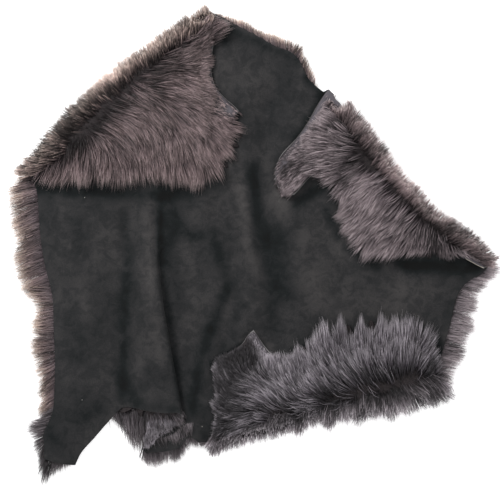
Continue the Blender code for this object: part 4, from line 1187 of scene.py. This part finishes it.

# %% [markdown]
# ## The mat under the strands
#
# Between the strands of real wool there is finer, darker wool, and never bare skin. A mat stands for it, so
# that far fewer strands close the surface. Its dark colour is partly that wool's own and partly painted
# shade, the shade deep in the pile between the locks. It is the CAD fleece, drawn in towards the leather to a
# fifth of its depth on top and at the sides, and left as deep as it is below, where it rests. Where the wool
# is worn down to a short pile the mat itself shows, and it is paler there; on the peak of the bottom turned
# edge that pale pile is a painted sheen.

# %% Underfur
UNDERFUR_DEPTH = 0.2  # of the fleece's depth, on top and at the sides
SKIN_GAP = 0.9 * MM  # the mat keeps this much more from the leather
MAT_FLAT_ENOUGH = math.radians(40)
hide_tree = BVHTree.FromBMesh(copied("skin"))
for vert in fleece_shape.verts:
    nearest = hide_tree.find_nearest(vert.co)[0]
    depth = vert.co - nearest
    below = 1 if depth.z < 0 else UNDERFUR_DEPTH
    vert.co = nearest + Vector((depth.x * UNDERFUR_DEPTH, depth.y * UNDERFUR_DEPTH, depth.z * below))
    if depth.length < WOOL_SIDE:
        vert.co += depth.normalized() * SKIN_GAP
bmesh.ops.join_triangles(fleece_shape, faces=fleece_shape.faces, angle_face_threshold=MAT_FLAT_ENOUGH,
                         angle_shape_threshold=SQUARE_ENOUGH)
underfur = subdivided(fleece_shape, "underfur", MAT_LEVELS)
underfur.data.materials.append(UNDERFUR_AND_SHADE)
crease(underfur)
# The pale pile shows where the wool is worn, and as a painted sheen on the peak of the bottom turned edge.
pile_and_sheen = underfur.data.attributes.new(PILE_AND_SHEEN_TONE, "FLOAT", "POINT")
pile_and_sheen.data.foreach_set("value", np.clip(drawn(points_of(underfur), WORN_AND_SHEEN, "tone"), 0, 1))
print("underfur", len(underfur.data.polygons), "faces")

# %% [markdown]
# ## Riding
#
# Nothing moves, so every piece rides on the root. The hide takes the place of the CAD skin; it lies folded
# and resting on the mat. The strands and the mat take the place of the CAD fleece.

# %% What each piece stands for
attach(hide, "root")
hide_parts("skin")
for piece in (*top_pieces, *rim_pieces, *fringe_pieces, underfur):
    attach(piece, "root")
    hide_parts("fleece")

# %% [markdown]
# ## Floor, light and camera
#
# The photograph was taken from straight above, over white, in soft light that is stronger from the upper
# left. One wide lamp stands there, a weaker one stands opposite, and the pale world fills the rest. The
# camera looks straight down, and the width of its picture at the leather's height is the photograph's.

# %% Studio
CAMERA_HEIGHT = 3.0
SENSOR = 36  # mm
FURTHEST_SEEN = 20  # m
FLOOR_SIZE = 40  # m
LOOKED_AT = 30 * MM  # height of the plane that the photograph's width is measured in

bpy.ops.mesh.primitive_plane_add(size=FLOOR_SIZE)
floor = bpy.context.object
floor.name = "floor"
paper, _, paper_shader = new_material("white_paper", 0.9, 0.2)
paper_shader.inputs["Base Color"].default_value = linear("#f4f4f4")
# The floor glows a little, as a light table does, so that the object throws no grey patch on it.
paper_shader.inputs["Emission Color"].default_value = linear("#ffffff")
paper_shader.inputs["Emission Strength"].default_value = 0.5
floor.data.materials.append(paper)

world = bpy.data.worlds.new("studio")
world.use_nodes = True
world.node_tree.nodes["Background"].inputs["Color"].default_value = linear("#ffffff")
world.node_tree.nodes["Background"].inputs["Strength"].default_value = 0.7
bpy.context.scene.world = world


Lamp = namedtuple("Lamp", "name place size power")  # metres and watts
LAMPS = (Lamp("key", (-1.5, 1.6, 1.7), 0.9, 70), Lamp("fill", (1.6, -0.8, 2.4), 1.6, 18))
for row in LAMPS:
    lamp = bpy.data.lights.new(row.name, "AREA")
    lamp.shape = "DISK"
    lamp.size = row.size
    lamp.energy = row.power
    made = linked(lamp, row.name)
    made.location = row.place
    made.rotation_euler = (-Vector(row.place)).to_track_quat("-Z", "Y").to_euler()

camera = bpy.data.cameras.new("camera")
camera.sensor_width = SENSOR
camera.lens = SENSOR * (CAMERA_HEIGHT - LOOKED_AT) / PHOTO_WIDTH
camera.clip_end = FURTHEST_SEEN
seen = linked(camera, "camera")
seen.location = (*PHOTO_MIDDLE, CAMERA_HEIGHT)
bpy.context.scene.camera = seen
bpy.context.scene.view_settings.view_transform = "Standard"
